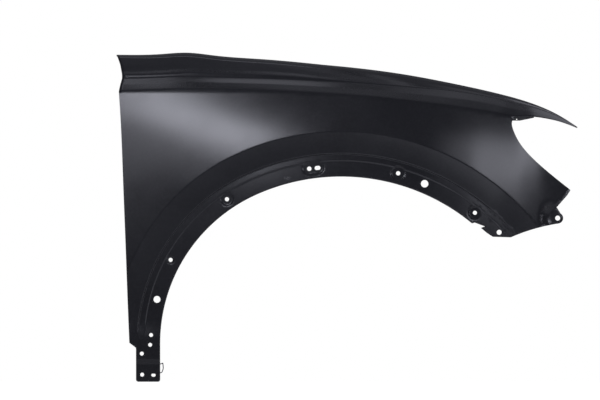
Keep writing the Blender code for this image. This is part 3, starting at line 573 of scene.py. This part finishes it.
def station_shares():
    """Gives the loft's stations from the rear edge to the nose tip, as shares of the crease line.

    Both ends of each rail pad have a station, so that the pads are flat.
    """
    length = REAR_REACH + FRONT_REACH
    pad_ends = [rail_place(x) for x in rail_pad_ends()]
    crease_rear = -SHOULDER_REAR_SHARES[0][1] * REAR_REACH
    corner = (float(x_at(LAMP_CORNER_SHARE)) + crease_rear) / (FRONT_REACH + crease_rear)
    count = round(corner * length / STATION_STEP)
    regular = [corner * index / count for index in range(count + 1)]
    near = STATION_STEP / length / 3
    kept = [share for share in regular if min(abs(share - end) for end in pad_ends) > near]
    kept = {0.0, corner, *kept, *(end for end in pad_ends if end < corner - near / 2)}
    blade = [corner + (1 - corner) * (index + 1) / BLADE_STATIONS for index in range(BLADE_STATIONS)]
    return sorted(kept) + blade, corner


def rail_level(x):
    """Gives the height of the rail flange, which is level at each bolt pad."""
    knots = [-REAR_REACH, *rail_pad_ends(), FRONT_REACH]
    held = [-REAR_REACH, *np.repeat(x_at(RAIL_BOLT_SHARES), 2), FRONT_REACH]
    level_x = np.interp(x, knots, held)
    top = hood_edge(share_at(level_x)) * RISE
    rise = top - crease(share_at(level_x)) * RISE
    return top - np.minimum(RAIL_WALL, RAIL_WALL_LIMIT_SHARE * rise)


def shoulder_rows(share):
    """Gives the shoulder section as (share of the rise, share of the depth) pairs, crease to hood edge."""
    foot = float(valley(share))
    width = float(bead(share))
    edge = float(strip(share))
    ridge = foot + width
    ridge_depth = VALLEY_DEPTH_SHARE + VALLEY_WALL_SHARE * width
    crown = ridge + width
    crown_depth = ridge_depth + BEAD_WALL_SHARE * width
    rows = []
    for low, high, low_depth, high_depth, shares in (
        (0.0, foot, 0.0, VALLEY_DEPTH_SHARE, BELOW_VALLEY_SHARES),
        (foot, ridge, VALLEY_DEPTH_SHARE, ridge_depth, ((1.0, 1.0),)),
        (ridge, crown, ridge_depth, crown_depth, ((1.0, 1.0),)),
        (crown, edge, crown_depth, STRIP_DEPTH_SHARE, BEAD_TO_STRIP_SHARES),
        (edge, 1.0, STRIP_DEPTH_SHARE, 1.0, TOP_STRIP_SHARES),
    ):
        for rise_share, depth_share in shares:
            depth = low_depth + (high_depth - low_depth) * depth_share
            rows.append((low + (high - low) * rise_share, depth))
    return rows


def arc(centre, radius, places):
    """Gives the points of an arc at some places in degrees."""
    x, z = centre
    angles = [math.radians(degrees) for degrees in places]
    return [(x + radius * math.cos(angle), z + radius * math.sin(angle)) for angle in angles]


def leg_left():
    """Gives the rear side of the leg, set in from the foot of the rear edge."""
    return float(x_at(REAR_EDGE_SHARES[-1][0])) + LEG_SET_BACK


def leg_outline():
    """Gives the outline of the leg, from the foot of the rear edge to the arch's rear end."""
    right = -ARCH_REAR_RADIUS
    left = leg_left()
    radius = LEG_CORNER_RADIUS
    shoulder = REAR_EDGE_SHARES[-1][1] * RISE - LEG_SHOULDER_DROP
    points = [(left - radius / 6, shoulder + radius / 2), (left, shoulder)]
    for centre_x, first in ((left + radius, 180), (right - radius, 270)):
        points += arc((centre_x, radius - LEG_DROP), radius, range(first, first + 91, 30))
    return np.array(points)


def front_outline():
    """Gives the outline from the lamp edge's foot round the ear and the apron to the arch's front end."""
    nose = [(float(x_at(x)), z * RISE) for x, z in NOSE_EDGE_SHARES]
    ear = arc(ear_centre(), EAR_RADIUS, np.linspace(EAR_START_DEG, EAR_END_DEG, 22))
    apron = [arch_point(degrees, share * LIP_WIDTH) for degrees, share in reversed(APRON_EDGE_SHARES)]
    start = np.array(ear[-1])
    chord = apron[0] - start
    rise = np.array((chord[1], -chord[0]))
    bow = []
    for along in np.linspace(0.0, 1.0, 15)[1:-1]:
        bow.append(start + chord * along + rise * APRON_BOW_SHARE * 4 * along * (1 - along))
    return np.array([*nose, *ear, *bow, *apron])


def inside(points, ring):
    """Tells which points lie inside a closed ring."""
    points = np.asarray(points, float)
    found = np.zeros(len(points), bool)
    for start, end in zip(ring, np.roll(ring, -1, axis=0)):
        crosses = (start[1] > points[:, 1]) != (end[1] > points[:, 1])
        rise = end[1] - start[1] if end[1] != start[1] else 1.0
        meeting = start[0] + (points[:, 1] - start[1]) * (end[0] - start[0]) / rise
        found ^= crosses & (points[:, 0] < meeting)
    return found


def divide(line, step):
    """Divides a polyline's longer runs so that its points lie about one step apart."""
    points = []
    for start, end in zip(line[:-1], line[1:]):
        count = max(1, round(float(np.linalg.norm(end - start)) / step))
        points += [start + (end - start) * index / count for index in range(count)]
    return np.array(points + [line[-1]])


def panel_holes():
    """Gives the centre, radius, half length and degrees of each hole of the side."""
    holes = arch_slots(ARCH_HOLE_SHARES, CLIP_HOLE_RADIUS)
    holes += arch_slots(TOOLING_HOLE_SHARES, TOOLING_HOLE_RADIUS)
    leg_width = -ARCH_REAR_RADIUS - leg_left()
    for inset, height, radius, half_length in LEG_HOLE_SHARES:
        centre = np.array((-ARCH_REAR_RADIUS - inset * leg_width, height * LEG_DROP))
        holes.append((centre, radius * LEG_HOLE_RADIUS, half_length * LEG_HOLE_RADIUS, 90))
    return [*holes, (ear_centre(), EAR_HOLE_RADIUS, 0.0, 90)]


def thin_out(points, fixed, gaps):
    """Keeps the points that stay clear of the fixed ones and of each other by their own gap."""
    tree = KDTree(len(fixed))
    for index, point in enumerate(fixed):
        tree.insert((point[0], point[1], 0.0), index)
    tree.balance()
    taken = {}
    kept = []
    for (x, z), gap in zip(points, gaps):
        if tree.find((x, z, 0.0))[2] <= gap:
            continue
        column, row = int(x // THIN_CELL), int(z // THIN_CELL)
        reach = int(gap // THIN_CELL) + 1
        rivals = (
            rival for near_column in range(column - reach, column + reach + 1)
            for near_row in range(row - reach, row + reach + 1)
            for rival in taken.get((near_column, near_row), ())
        )
        if all((rival[0] - x) ** 2 + (rival[1] - z) ** 2 >= gap * gap for rival in rivals):
            taken.setdefault((column, row), []).append((x, z))
            kept.append((x, z))
    return kept


def section_insets():
    """Gives the offsets from the arch edge at which the arch section is sampled, closest at its folds."""
    places = [LIP_WIDTH + offset for offset in CREASE_OFFSETS]
    for first, last, step in ARCH_RUNS:
        places += list(np.arange(first, last, step))
    for fold, spread, step in ARCH_FOLDS:
        places += list(np.arange(fold - spread, fold + spread + step / 2, step))
    return sorted(places)


def side_points(outline, holes):
    """Scatters the side's inner points: rings round holes and pads, arch lines, then a lattice."""
    points = []
    gaps = []

    def add(new, gap):
        for point in new:
            points.append((float(point[0]), float(point[1])))
            gaps.append(gap)

    for centre, radius, half_length, degrees in arch_slots(CLIP_PAD_SHARES, CLIP_PAD_RADIUS):
        for share in PAD_RING_SHARES:
            size = radius * share
            sides = max(HOLE_SIDES, round(math.tau * (size + half_length / 2) / PAD_RING_STEP))
            add(slot_ring(centre, size, half_length, degrees, sides), POINT_GAP)
    for centre, radius, half_length, degrees in holes:
        for distance, gap in HOLE_RINGS:
            add(slot_ring(centre, radius + distance, half_length, degrees, HOLE_SIDES), gap)
    last = APRON_EDGE_SHARES[-1][0] - FOLD_OVERRUN_DEG
    for inset in section_insets():
        add(arch_line(inset, 180.0, last), POINT_GAP)
    across, up, gap = LEG_GRID
    for x in np.arange(leg_left(), -ARCH_REAR_RADIUS, across):
        add([(x, z) for z in np.arange(-LEG_DROP + up, LEG_FLAT_START, up)], gap)
    for step, low, high in LATTICES:
        row_step = step * math.sqrt(3) / 2
        grid = []
        for row in range(int((high[1] - low[1]) / row_step) + 1):
            shift = step / 2 * (row % 2)
            for column in range(int((high[0] - low[0]) / step) + 1):
                grid.append((low[0] + column * step + shift, low[1] + row * row_step))
        add(grid, step * LATTICE_GAP_SHARE)
    points = np.array(points)
    gaps = np.array(gaps)
    keep = inside(points, outline)
    for centre, radius, half_length, degrees in holes:
        away = slot_distance(points[:, 0], points[:, 1], centre, half_length, degrees)
        keep &= away > radius + HOLE_CLEARANCE
    return points[keep], gaps[keep]


def ring_edges(first, count):
    """Gives the edges of a closed ring of points, by the places of the points in their list."""
    return [(first + index, first + (index + 1) % count) for index in range(count)]


def join_points(points, edges, reach, outline, rings):
    """Joins points by triangles inside an outline and outside its rings.

    Returns the points, the triangles, and each edge with the drawn edges that it comes from.
    """
    drawn = [Vector(point) for point in points]
    joined = delaunay_2d_cdt(drawn, edges, [], 0, reach)
    flat = np.array([tuple(point) for point in joined[0]])
    faces = np.array(joined[2])
    centres = flat[faces].mean(axis=1)
    kept = inside(centres, outline)
    for ring in rings:
        kept &= ~inside(centres, ring)
    return flat, faces[kept], zip(joined[1], joined[4])


def fold_out(cage, edges, steps):
    """Grows a flange from open edges, step by step along the car and inboard."""
    for along, inboard in steps:
        grown = bmesh.ops.extrude_edge_only(cage, edges=edges)["geom"]
        edges = [item for item in grown if isinstance(item, bmesh.types.BMEdge)]
        moved = [item for item in grown if isinstance(item, bmesh.types.BMVert)]
        bmesh.ops.translate(cage, verts=moved, vec=(along, inboard, 0))


def build_side(cage, crease_line):
    """Presses the blank into the side, with the returns of the door edge and the lamp edge."""
    rear_line = smooth_line(REAR_EDGE_SHARES, OUTLINE_STEP)
    lamp_line = smooth_line(LAMP_EDGE_SHARES, OUTLINE_STEP)
    rear_line[0] = crease_line[0]
    lamp_line[0] = crease_line[-1]
    arch = arch_line(0.0, 180.0, ARCH_END_DEG)
    leg = divide(np.vstack((rear_line[-1:], leg_outline(), arch[:1])), OUTLINE_FINE_STEP)[1:-1]
    apron = divide(np.vstack((arch[-1:], front_outline()[::-1], lamp_line[-1:])), OUTLINE_FINE_STEP)[1:-1]
    outline = []
    names = []
    for name, line in (
        ("door", rear_line), ("leg", leg), ("arch", arch), ("apron", apron),
        ("lamp", lamp_line[::-1]), ("crease", crease_line[::-1]),
    ):
        for point in line:
            if outline and np.hypot(*(np.array(point) - outline[-1])) < WELD:
                names[-1] = name
                continue
            outline.append(np.array(point))
            names.append(name)
    outline = np.array(outline[:-1])
    edge_names = names[:-1]
    holes = panel_holes()
    rings = [slot_ring(*hole, HOLE_SIDES) for hole in holes]
    points = [tuple(point) for point in outline]
    edges = ring_edges(0, len(outline))
    for ring in rings:
        edges += ring_edges(len(points), len(ring))
        points += [tuple(point) for point in ring]
        edge_names += ["hole"] * len(ring)
    inner, gaps = side_points(outline, holes)
    points += thin_out(inner, points, gaps)
    flat, faces, found_edges = join_points(points, edges, WELD / 10, outline, rings)
    depth = pressed_depth(flat[:, 0], flat[:, 1])
    corners = {}
    for face in faces:
        for index in face:
            if index not in corners:
                corners[index] = cage.verts.new((flat[index][0], depth[index], flat[index][1]))
        cage.faces.new([corners[index] for index in face])
    returns = {"door": [], "lamp": []}
    for (start, end), sources in found_edges:
        for name in {edge_names[source] for source in sources} & set(returns):
            if start in corners and end in corners:
                returns[name].append(cage.edges.get((corners[start], corners[end])))
    for name, width, way in (("door", DOOR_RETURN, 1), ("lamp", LAMP_RETURN, -1)):
        radius = RETURN_RADIUS
        steps = [(way * along * radius, inboard * radius) for along, inboard in RETURN_FOLD_SHARES]
        steps += [(way * RETURN_LEAN_SHARE * radius, (width - radius) / RETURN_ROWS)] * RETURN_ROWS
        fold_out(cage, returns[name], steps)


def corner_curve(first, corner, last, count):
    """Gives points along the curve that rounds a corner, both ends with them."""
    points = []
    for index in range(count):
        share = index / (count - 1)
        points.append((1 - share) ** 2 * first + 2 * share * (1 - share) * corner + share ** 2 * last)
    return points


def fine_rows(keys):
    """Rounds the folds of a section of flat facets, with the same number of points at every station."""
    keys = np.array(keys)
    points = [keys[0]]
    for before, here, after in zip(keys[:-2], keys[1:-1], keys[2:]):
        first, last = (
            here + way * min(FACET_FOLD / np.linalg.norm(way), FACET_FOLD_LIMIT)
            for way in (before - here, after - here)
        )
        points.append((points[-1] + first) / 2)
        points += corner_curve(first, here, last, 5)
    points += [(points[-1] + keys[-1]) / 2, keys[-1]]
    return points


def shoulder_point(x, rise_share, depth_share):
    """Gives the shoulder's point at a distance along the car and shares of its rise and depth."""
    share = float(share_at(x))
    low = float(crease(share)) * RISE
    high = float(hood_edge(share)) * RISE
    depth = float(side_depth(x, low)) + SHOULDER_DEPTH * float(shoulder_depth(share)) * depth_share
    return x, depth, low + (high - low) * rise_share


def shoulder_section(place):
    """Gives the loft's fine section at one station: its skin, the hood gap wall and the rail flange."""
    length = REAR_REACH + FRONT_REACH
    keys = []
    for rise_share, depth_share in shoulder_rows(float(share_at(place * length - REAR_REACH))):
        rear_x = float(x_at(shoulder_rear(rise_share)))
        keys.append(shoulder_point(rear_x + (FRONT_REACH - rear_x) * place, rise_share, depth_share))
    x, edge_depth, top = keys[-1]
    rail_rear = float(x_at(RAIL_REAR_SHARE))
    rail_x = rail_rear + (FRONT_REACH - rail_rear) * place
    level = float(rail_level(rail_x))
    roll = min(HOOD_EDGE_RADIUS, (top - level) / 3)
    section = [tuple(point) for point in fine_rows(keys)]
    wide = roll * HOOD_ROLL_STRETCH
    wall = edge_depth + wide
    for share in (0.25, 0.5, 0.75, 1.0):
        angle = share * math.pi / 2
        section.append((x, edge_depth + wide * math.sin(angle), top - wide * (1 - math.cos(angle))))
    drop = top - wide - (level + roll)
    for share in WALL_ROW_SHARES:
        section.append((x + (rail_x - x) * share, wall, top - wide - drop * share))
    for share in WALL_ROW_SHARES:
        angle = share * math.pi / 2
        section.append((rail_x, wall + roll * (1 - math.cos(angle)), level + roll * (1 - math.sin(angle))))
    end = edge_depth + RAIL_WIDTH + roll
    start = wall + roll
    for share in RAIL_ROW_SHARES:
        section.append((rail_x, start + (end - start) * share, level))
    return section


def build_shoulder(cage):
    """Lofts the shoulder, the wall of the hood gap and the rail flange. Returns the crease line."""
    stations, corner = station_shares()
    rail_last = rail_place(float(x_at(RAIL_END_SHARE)))
    rail_rows = 2 * len(WALL_ROW_SHARES) + len(RAIL_ROW_SHARES)
    grid = [[cage.verts.new(point) for point in shoulder_section(place)] for place in stations]
    for index in range(len(stations) - 1):
        rows = len(grid[index]) - 1
        if stations[index + 1] > rail_last:
            rows -= rail_rows
        for row in range(rows):
            here, ahead = grid[index], grid[index + 1]
            cage.faces.new((here[row], ahead[row], ahead[row + 1], here[row + 1]))
    return np.array([
        (column[0].co.x, column[0].co.z) for column, place in zip(grid, stations) if place <= corner + WELD
    ])


def rail_middle(x):
    """Gives the middle of the rail flange at a distance along the car."""
    edge_depth = shoulder_point(x, 1.0, 1.0)[1]
    return Vector((x, edge_depth + HOOD_EDGE_RADIUS + RAIL_WIDTH / 2, float(rail_level(x))))


def add_object(cage, name):
    """Turns a cage into a mesh object of the scene."""
    mesh = bpy.data.meshes.new(name)
    cage.to_mesh(mesh)
    cage.free()
    item = bpy.data.objects.new(name, mesh)
    bpy.context.scene.collection.objects.link(item)
    return item


def add_sheet(cage, name, sharp_deg, datum):
    """Welds an open sheet, shades it, moves it from the drawing place to the frame, and lets it ride."""
    bmesh.ops.remove_doubles(cage, verts=cage.verts, dist=WELD)
    item = add_object(cage, name)
    item.data.shade_smooth()
    item.data.set_sharp_from_angle(angle=math.radians(sharp_deg))
    item.data.transform(Matrix.Translation(-datum))
    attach(item, "root")
    return item


def modify(item, kind, **settings):
    """Puts a modifier on an object and applies it to its mesh."""
    modifier = item.modifiers.new(kind.lower(), kind)
    for name, value in settings.items():
        setattr(modifier, name, value)
    graph = bpy.context.evaluated_depsgraph_get()
    mesh = bpy.data.meshes.new_from_object(item.evaluated_get(graph))
    item.modifiers.clear()
    item.data = mesh


def thicken(item, thickness):
    """Gives a sheet its thickness, inboard of its outer side."""
    modify(item, "SOLIDIFY", thickness=thickness, offset=-1.0, use_even_offset=True)


def round_edges(item, width):
    """Rounds an object's sharp edges."""
    limit = math.radians(SHARP_DEG)
    modify(item, "BEVEL", width=width, segments=2, limit_method="ANGLE", angle_limit=limit)


def bore_rail(item, bolts):
    """Bores the bolt holes of the rail flange."""
    cage = bmesh.new()
    for bolt in bolts:
        bmesh.ops.create_cone(
            cage, cap_ends=True, segments=HOLE_SIDES, radius1=RAIL_HOLE_RADIUS, radius2=RAIL_HOLE_RADIUS,
            depth=RAIL_CUTTER_LENGTH, matrix=Matrix.Translation(bolt),
        )
    cutter = add_object(cage, "rail_holes")
    modify(item, "BOOLEAN", operation="DIFFERENCE", solver="EXACT", object=cutter)
    bpy.data.objects.remove(cutter)


def build_panel(datum):
    """Builds the fine pressed panel."""
    cage = bmesh.new()
    crease_line = build_shoulder(cage)
    build_side(cage, crease_line)
    panel = add_sheet(cage, "panel_skin", SHARP_DEG, datum)
    thicken(panel, SHEET)
    bore_rail(panel, [rail_middle(float(x_at(share))) - datum for share in RAIL_BOLT_SHARES])
    return panel


def build_bracket(datum):
    """Builds the folded bracket that carries the lamp, seated under the rail's last pad."""
    seat = rail_middle(float(x_at(RAIL_BOLT_SHARES[-1])))
    top = seat.z - SHEET - SEAT_GAP
    rear = seat.x + RAIL_PAD_HALF - BRACKET_SEAT_LENGTH
    front = rear + BRACKET_SEAT_LENGTH
    ends = [rail_middle(rear).y - RAIL_WIDTH / 4, rail_middle(rear + BRACKET_REACH).y - RAIL_WIDTH / 4]
    foot = top - BRACKET_DROP
    shoulder = foot + BRACKET_TAB_HEIGHT * 2
    end = rear + BRACKET_REACH
    flat_end = rear + BRACKET_REACH * BRACKET_FLAT_SHARE
    outline = np.array([
        (rear, top), (rear, foot), (flat_end, foot), (end, foot + BRACKET_TAB_HEIGHT),
        (end, shoulder), (front, shoulder), (front, top), (rear, top),
    ])
    outline = divide(outline, BRACKET_STEP)[:-1]
    along, above = BRACKET_HOLE_SHARES
    bore = (rear + BRACKET_REACH * along, foot + BRACKET_TAB_HEIGHT * above)
    hole = slot_ring(bore, BRACKET_HOLE_RADIUS, 0.0, 90, HOLE_SIDES)
    points = [tuple(point) for point in (*outline, *hole)]
    edges = ring_edges(0, len(outline)) + ring_edges(len(outline), len(hole))
    columns, rows = np.arange(rear, end, BRACKET_STEP), np.arange(foot, top, BRACKET_STEP)
    fill = np.array([(x, z) for x in columns for z in rows])
    fill = fill[inside(fill, outline)]
    away = np.hypot(fill[:, 0] - bore[0], fill[:, 1] - bore[1])
    fill = fill[away > BRACKET_HOLE_RADIUS + HOLE_CLEARANCE]
    points += thin_out(fill, points, [BRACKET_GAP] * len(fill))
    flat, faces, _ = join_points(points, edges, WELD, outline, [hole])
    first, second, third = (flat[faces[:, corner]] for corner in range(3))
    area = np.abs(np.cross(second - first, third - first)) / 2
    cage = bmesh.new()
    depths = np.interp(flat[:, 0], (rear, end), ends)
    corners = [cage.verts.new((x, depth, z)) for (x, z), depth in zip(flat, depths)]
    for face in faces[area > SLIVER_AREA]:
        cage.faces.new([corners[index] for index in face])
    brink = [
        edge for edge in cage.edges
        if edge.is_boundary and all(abs(vert.co.z - top) < WELD for vert in edge.verts)
    ]
    fold_out(cage, brink, [(0, BRACKET_SEAT_WIDTH / BRACKET_SEAT_ROWS)] * BRACKET_SEAT_ROWS)
    bmesh.ops.delete(cage, geom=[vert for vert in cage.verts if not vert.link_faces], context="VERTS")
    bracket = add_sheet(cage, "lamp_bracket_fine", BRACKET_SHARP_DEG, datum)
    thicken(bracket, BRACKET_SHEET)
    round_edges(bracket, BRACKET_ROUND)
    return bracket


def build_clip(datum):
    """Builds the bent spring clip that grips the back of the leg and stands past its arch edge."""
    edge = -ARCH_REAR_RADIUS
    foot = CLIP_FOOT_RISE - LEG_DROP
    depth = LEG_INSET + FOOT_PAD_STEP + SHEET + SEAT_GAP
    profile = [(edge - CLIP_GRIP, foot), (edge - CLIP_SHEET, foot)]
    for reach_share, height_share in CLIP_BEND_SHARES:
        profile.append((edge + CLIP_REACH * reach_share, foot + CLIP_HEIGHT * height_share))
    top = foot + CLIP_HEIGHT * CLIP_TOP_SHARE
    profile += [(edge - CLIP_SHEET, top), (edge - CLIP_GRIP, top)]
    profile = np.array(profile)
    ring = []
    for before, here, after in zip(np.roll(profile, 1, axis=0), profile, np.roll(profile, -1, axis=0)):
        ways = (before - here, after - here)
        lengths = [float(np.linalg.norm(way)) for way in ways]
        cut = min(CLIP_FOLD, CLIP_FOLD_LIMIT * min(lengths))
        first, last = (here + way / length * cut for way, length in zip(ways, lengths))
        ring += corner_curve(first, here, last, 6)
    cage = bmesh.new()
    depths = [depth + CLIP_DEPTH * share for share in (0, 0.25, 0.5, 0.75, 1)]
    rows = [[cage.verts.new((x, depth, z)) for x, z in ring] for depth in depths]
    for near, far in zip(rows[:-1], rows[1:]):
        for index, after in ring_edges(0, len(ring)):
            cage.faces.new((near[index], far[index], far[after], near[after]))
    clip = add_sheet(cage, "liner_clip_fine", SHARP_DEG, datum)
    thicken(clip, CLIP_SHEET)
    round_edges(clip, CLIP_ROUND)
    return clip


def feed(tree, socket, value):
    """Links an input to another node's output, or sets it to a plain value."""
    if isinstance(value, bpy.types.NodeSocket):
        tree.links.new(value, socket)
    else:
        socket.default_value = value


def node(tree, kind, *values, **settings):
    """Adds a shader node. The values are its first inputs, the settings are properties or inputs."""
    made = tree.nodes.new(kind)
    for name in [name for name in settings if name not in made.inputs]:
        setattr(made, name, settings.pop(name))
    for key, value in (*enumerate(values), *settings.items()):
        feed(tree, made.inputs[key], value)
    return made


def ramp(tree, source, low, high, low_value, high_value):
    """Spreads a grey value between two others."""
    return node(tree, "ShaderNodeMapRange", source, low, high, low_value, high_value).outputs["Result"]


def blend_colours(tree, factor, first, second):
    """Mixes two colours, or a socket and a colour, by a grey value."""
    first, second = ((*colour, 1.0) if isinstance(colour, tuple) else colour for colour in (first, second))
    mix = node(tree, "ShaderNodeMix", data_type="RGBA", Factor=factor, A=first, B=second)
    return mix.outputs["Result"]


def place_noise(tree, scale, detail, roughness):
    """Adds solid noise in the object's own metres, so its grain keeps its real size."""
    place = node(tree, "ShaderNodeTexCoord").outputs["Object"]
    noise = node(tree, "ShaderNodeTexNoise", Vector=place, Scale=scale, Detail=detail, Roughness=roughness)
    return noise.outputs["Fac"]


def start_material(name):
    """Starts a material and gives it with its node tree and its shader."""
    material = bpy.data.materials.new(name)
    material.use_nodes = True
    return material, material.node_tree, material.node_tree.nodes["Principled BSDF"]


def primer_material():
    """Satin black dipped primer: fine orange peel, faint flow marks, a film of dust and one rub mark."""
    material, tree, shader = start_material("primer_black_look")
    feed(tree, shader.inputs["IOR"], PRIMER_IOR)

    flow = place_noise(tree, *FLOW_NOISE)
    dust = place_noise(tree, *DUST_NOISE)
    base = blend_colours(tree, ramp(tree, flow, 0.35, 0.7, 0.0, 1.0), PRIMER_DARK, PRIMER_LIGHT)
    speck = ramp(tree, dust, 0.45, 0.72, 0.0, DUST_SHARE)
    base = blend_colours(tree, speck, base, DUST_COLOUR)

    place = node(tree, "ShaderNodeTexCoord").outputs["Object"]
    for operation, value in (("SUBTRACT", RUB_PLACE), ("MULTIPLY", RUB_STRETCH)):
        place = node(tree, "ShaderNodeVectorMath", place, value, operation=operation).outputs["Vector"]
    away = node(tree, "ShaderNodeVectorMath", place, operation="LENGTH").outputs["Value"]
    spot = ramp(tree, away, 0.2, 1.0, 1.0, 0.0)
    grit = ramp(tree, place_noise(tree, *RUB_NOISE), 0.42, 0.62, 0.0, 1.0)
    rub = node(tree, "ShaderNodeMath", spot, grit, operation="MULTIPLY").outputs["Value"]
    base = blend_colours(tree, ramp(tree, rub, 0.0, 1.0, 0.0, RUB_SHARE), base, RUB_COLOUR)
    feed(tree, shader.inputs["Base Color"], base)

    gloss = ramp(tree, flow, 0.3, 0.75, PRIMER_ROUGHNESS - 0.02, PRIMER_ROUGHNESS + 0.03)
    dull = node(tree, "ShaderNodeMath", gloss, speck, operation="ADD").outputs["Value"]
    feed(tree, shader.inputs["Roughness"], dull)

    peel = place_noise(tree, *PEEL_NOISE)
    grain = place_noise(tree, *GRAIN_NOISE)
    coarse = node(tree, "ShaderNodeBump", Strength=PEEL_BUMP[0], Distance=PEEL_BUMP[1], Height=peel)
    fine = node(
        tree, "ShaderNodeBump", Strength=GRAIN_BUMP[0], Distance=GRAIN_BUMP[1], Height=grain,
        Normal=coarse.outputs["Normal"],
    )
    feed(tree, shader.inputs["Normal"], fine.outputs["Normal"])
    return material


def mottled_material(name, look):
    """A thin coating in two mottled tones, with a fine grain."""
    material, tree, shader = start_material(name)
    feed(tree, shader.inputs["Metallic"], look["metallic"])
    mottle = place_noise(tree, *look["patches"])
    base = blend_colours(tree, ramp(tree, mottle, *look["spread"], 0.0, 1.0), look["dark"], look["light"])
    feed(tree, shader.inputs["Base Color"], base)
    feed(tree, shader.inputs["Roughness"], ramp(tree, mottle, 0.3, 0.7, *look["roughness"]))
    strength, distance = look["bump"]
    grain = place_noise(tree, *look["grain"])
    bump = node(tree, "ShaderNodeBump", Strength=strength, Distance=distance, Height=grain)
    feed(tree, shader.inputs["Normal"], bump.outputs["Normal"])
    return material


def dress(item, material, node_name):
    """Gives a fine piece its material and hides the imported part that it stands for."""
    item.data.materials.clear()
    item.data.materials.append(material)
    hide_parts(node_name)


def soft_box(name, place, aim, roll, width, height, power):
    """Adds one soft box of light, turned about its own axis by the roll."""
    lamp = bpy.data.lights.new(name, "AREA")
    lamp.shape = "RECTANGLE"
    lamp.size = width
    lamp.size_y = height
    lamp.energy = power
    lamp.color = LIGHT_TINT
    item = bpy.data.objects.new(name, lamp)
    item.location = place
    facing = (Vector(aim) - Vector(place)).to_track_quat("-Z", "Y")
    item.rotation_euler = (facing @ Quaternion((0.0, 0.0, 1.0), math.radians(roll))).to_euler()
    bpy.context.scene.collection.objects.link(item)


def pale_floor():
    """A plain pale surface that the camera sees as white, apart from the object's soft shadow."""
    material, tree, _ = start_material("pale_floor")
    tree.nodes.clear()
    pale = node(tree, "ShaderNodeBsdfDiffuse", FLOOR_COLOUR)
    place = node(tree, "ShaderNodeNewGeometry").outputs["Position"]
    away = node(tree, "ShaderNodeVectorMath", place, FADE_MIDDLE, operation="DISTANCE").outputs["Value"]
    seen = ramp(tree, away, *FADE_REACH, *FLOOR_SEEN)
    camera_ray = node(tree, "ShaderNodeLightPath").outputs["Is Camera Ray"]
    strength = node(tree, "ShaderNodeMath", seen, camera_ray, operation="MULTIPLY").outputs["Value"]
    glow = node(tree, "ShaderNodeEmission", Strength=strength)
    both = node(tree, "ShaderNodeAddShader", pale.outputs["BSDF"], glow.outputs["Emission"])
    node(tree, "ShaderNodeOutputMaterial", Surface=both.outputs["Shader"])
    return material


def build_world():
    """White surroundings for the camera, and dim even light for the object."""
    world = bpy.data.worlds.new("studio")
    world.use_nodes = True
    bpy.context.scene.world = world
    tree = world.node_tree
    tree.nodes.clear()
    seen = node(tree, "ShaderNodeBackground", (1.0, 1.0, 1.0, 1.0), 1.0)
    dim = node(tree, "ShaderNodeBackground", (*LIGHT_TINT, 1.0), WORLD_STRENGTH)
    camera_ray = node(tree, "ShaderNodeLightPath").outputs["Is Camera Ray"]
    mix = node(
        tree, "ShaderNodeMixShader", camera_ray, dim.outputs["Background"], seen.outputs["Background"],
    )
    node(tree, "ShaderNodeOutputWorld", Surface=mix.outputs["Shader"])


def build_studio(datum):
    """The pale floor, the surroundings, the soft boxes and the camera."""
    scene = bpy.context.scene
    cage = bmesh.new()
    bmesh.ops.create_grid(cage, x_segments=1, y_segments=1, size=FLOOR_SIZE)
    floor = add_object(cage, "floor")
    floor.location = FLOOR_PLACE
    floor.data.materials.append(pale_floor())
    build_world()
    for settings in SOFT_BOXES:
        soft_box(*settings)

    camera = bpy.data.cameras.new("camera")
    camera.lens = SENSOR_MM * CAMERA_DISTANCE / FRAME_WIDTH
    camera.clip_end = 2 * CAMERA_DISTANCE
    item = bpy.data.objects.new("camera", camera)
    item.location = (FRAME_CENTRE[0] - datum.x, -CAMERA_DISTANCE, FRAME_CENTRE[1] - datum.z)
    item.rotation_euler = (math.pi / 2, 0.0, 0.0)
    scene.collection.objects.link(item)
    scene.camera = item
    scene.view_settings.view_transform = "Standard"


def main():
    """Builds, dresses and lights the fender."""
    datum = rail_middle(float(x_at(DATUM_BOLT_SHARE)) + DATUM_OFFSET)
    datum.z -= SHEET
    dress(build_panel(datum), primer_material(), "fender_panel")
    bracket_look = mottled_material("bracket_primer_look", BRACKET_LOOK)
    dress(build_bracket(datum), bracket_look, "lamp_bracket")
    clip_look = mottled_material("clip_zinc_look", CLIP_LOOK)
    dress(build_clip(datum), clip_look, "liner_clip")
    build_studio(datum)


main()
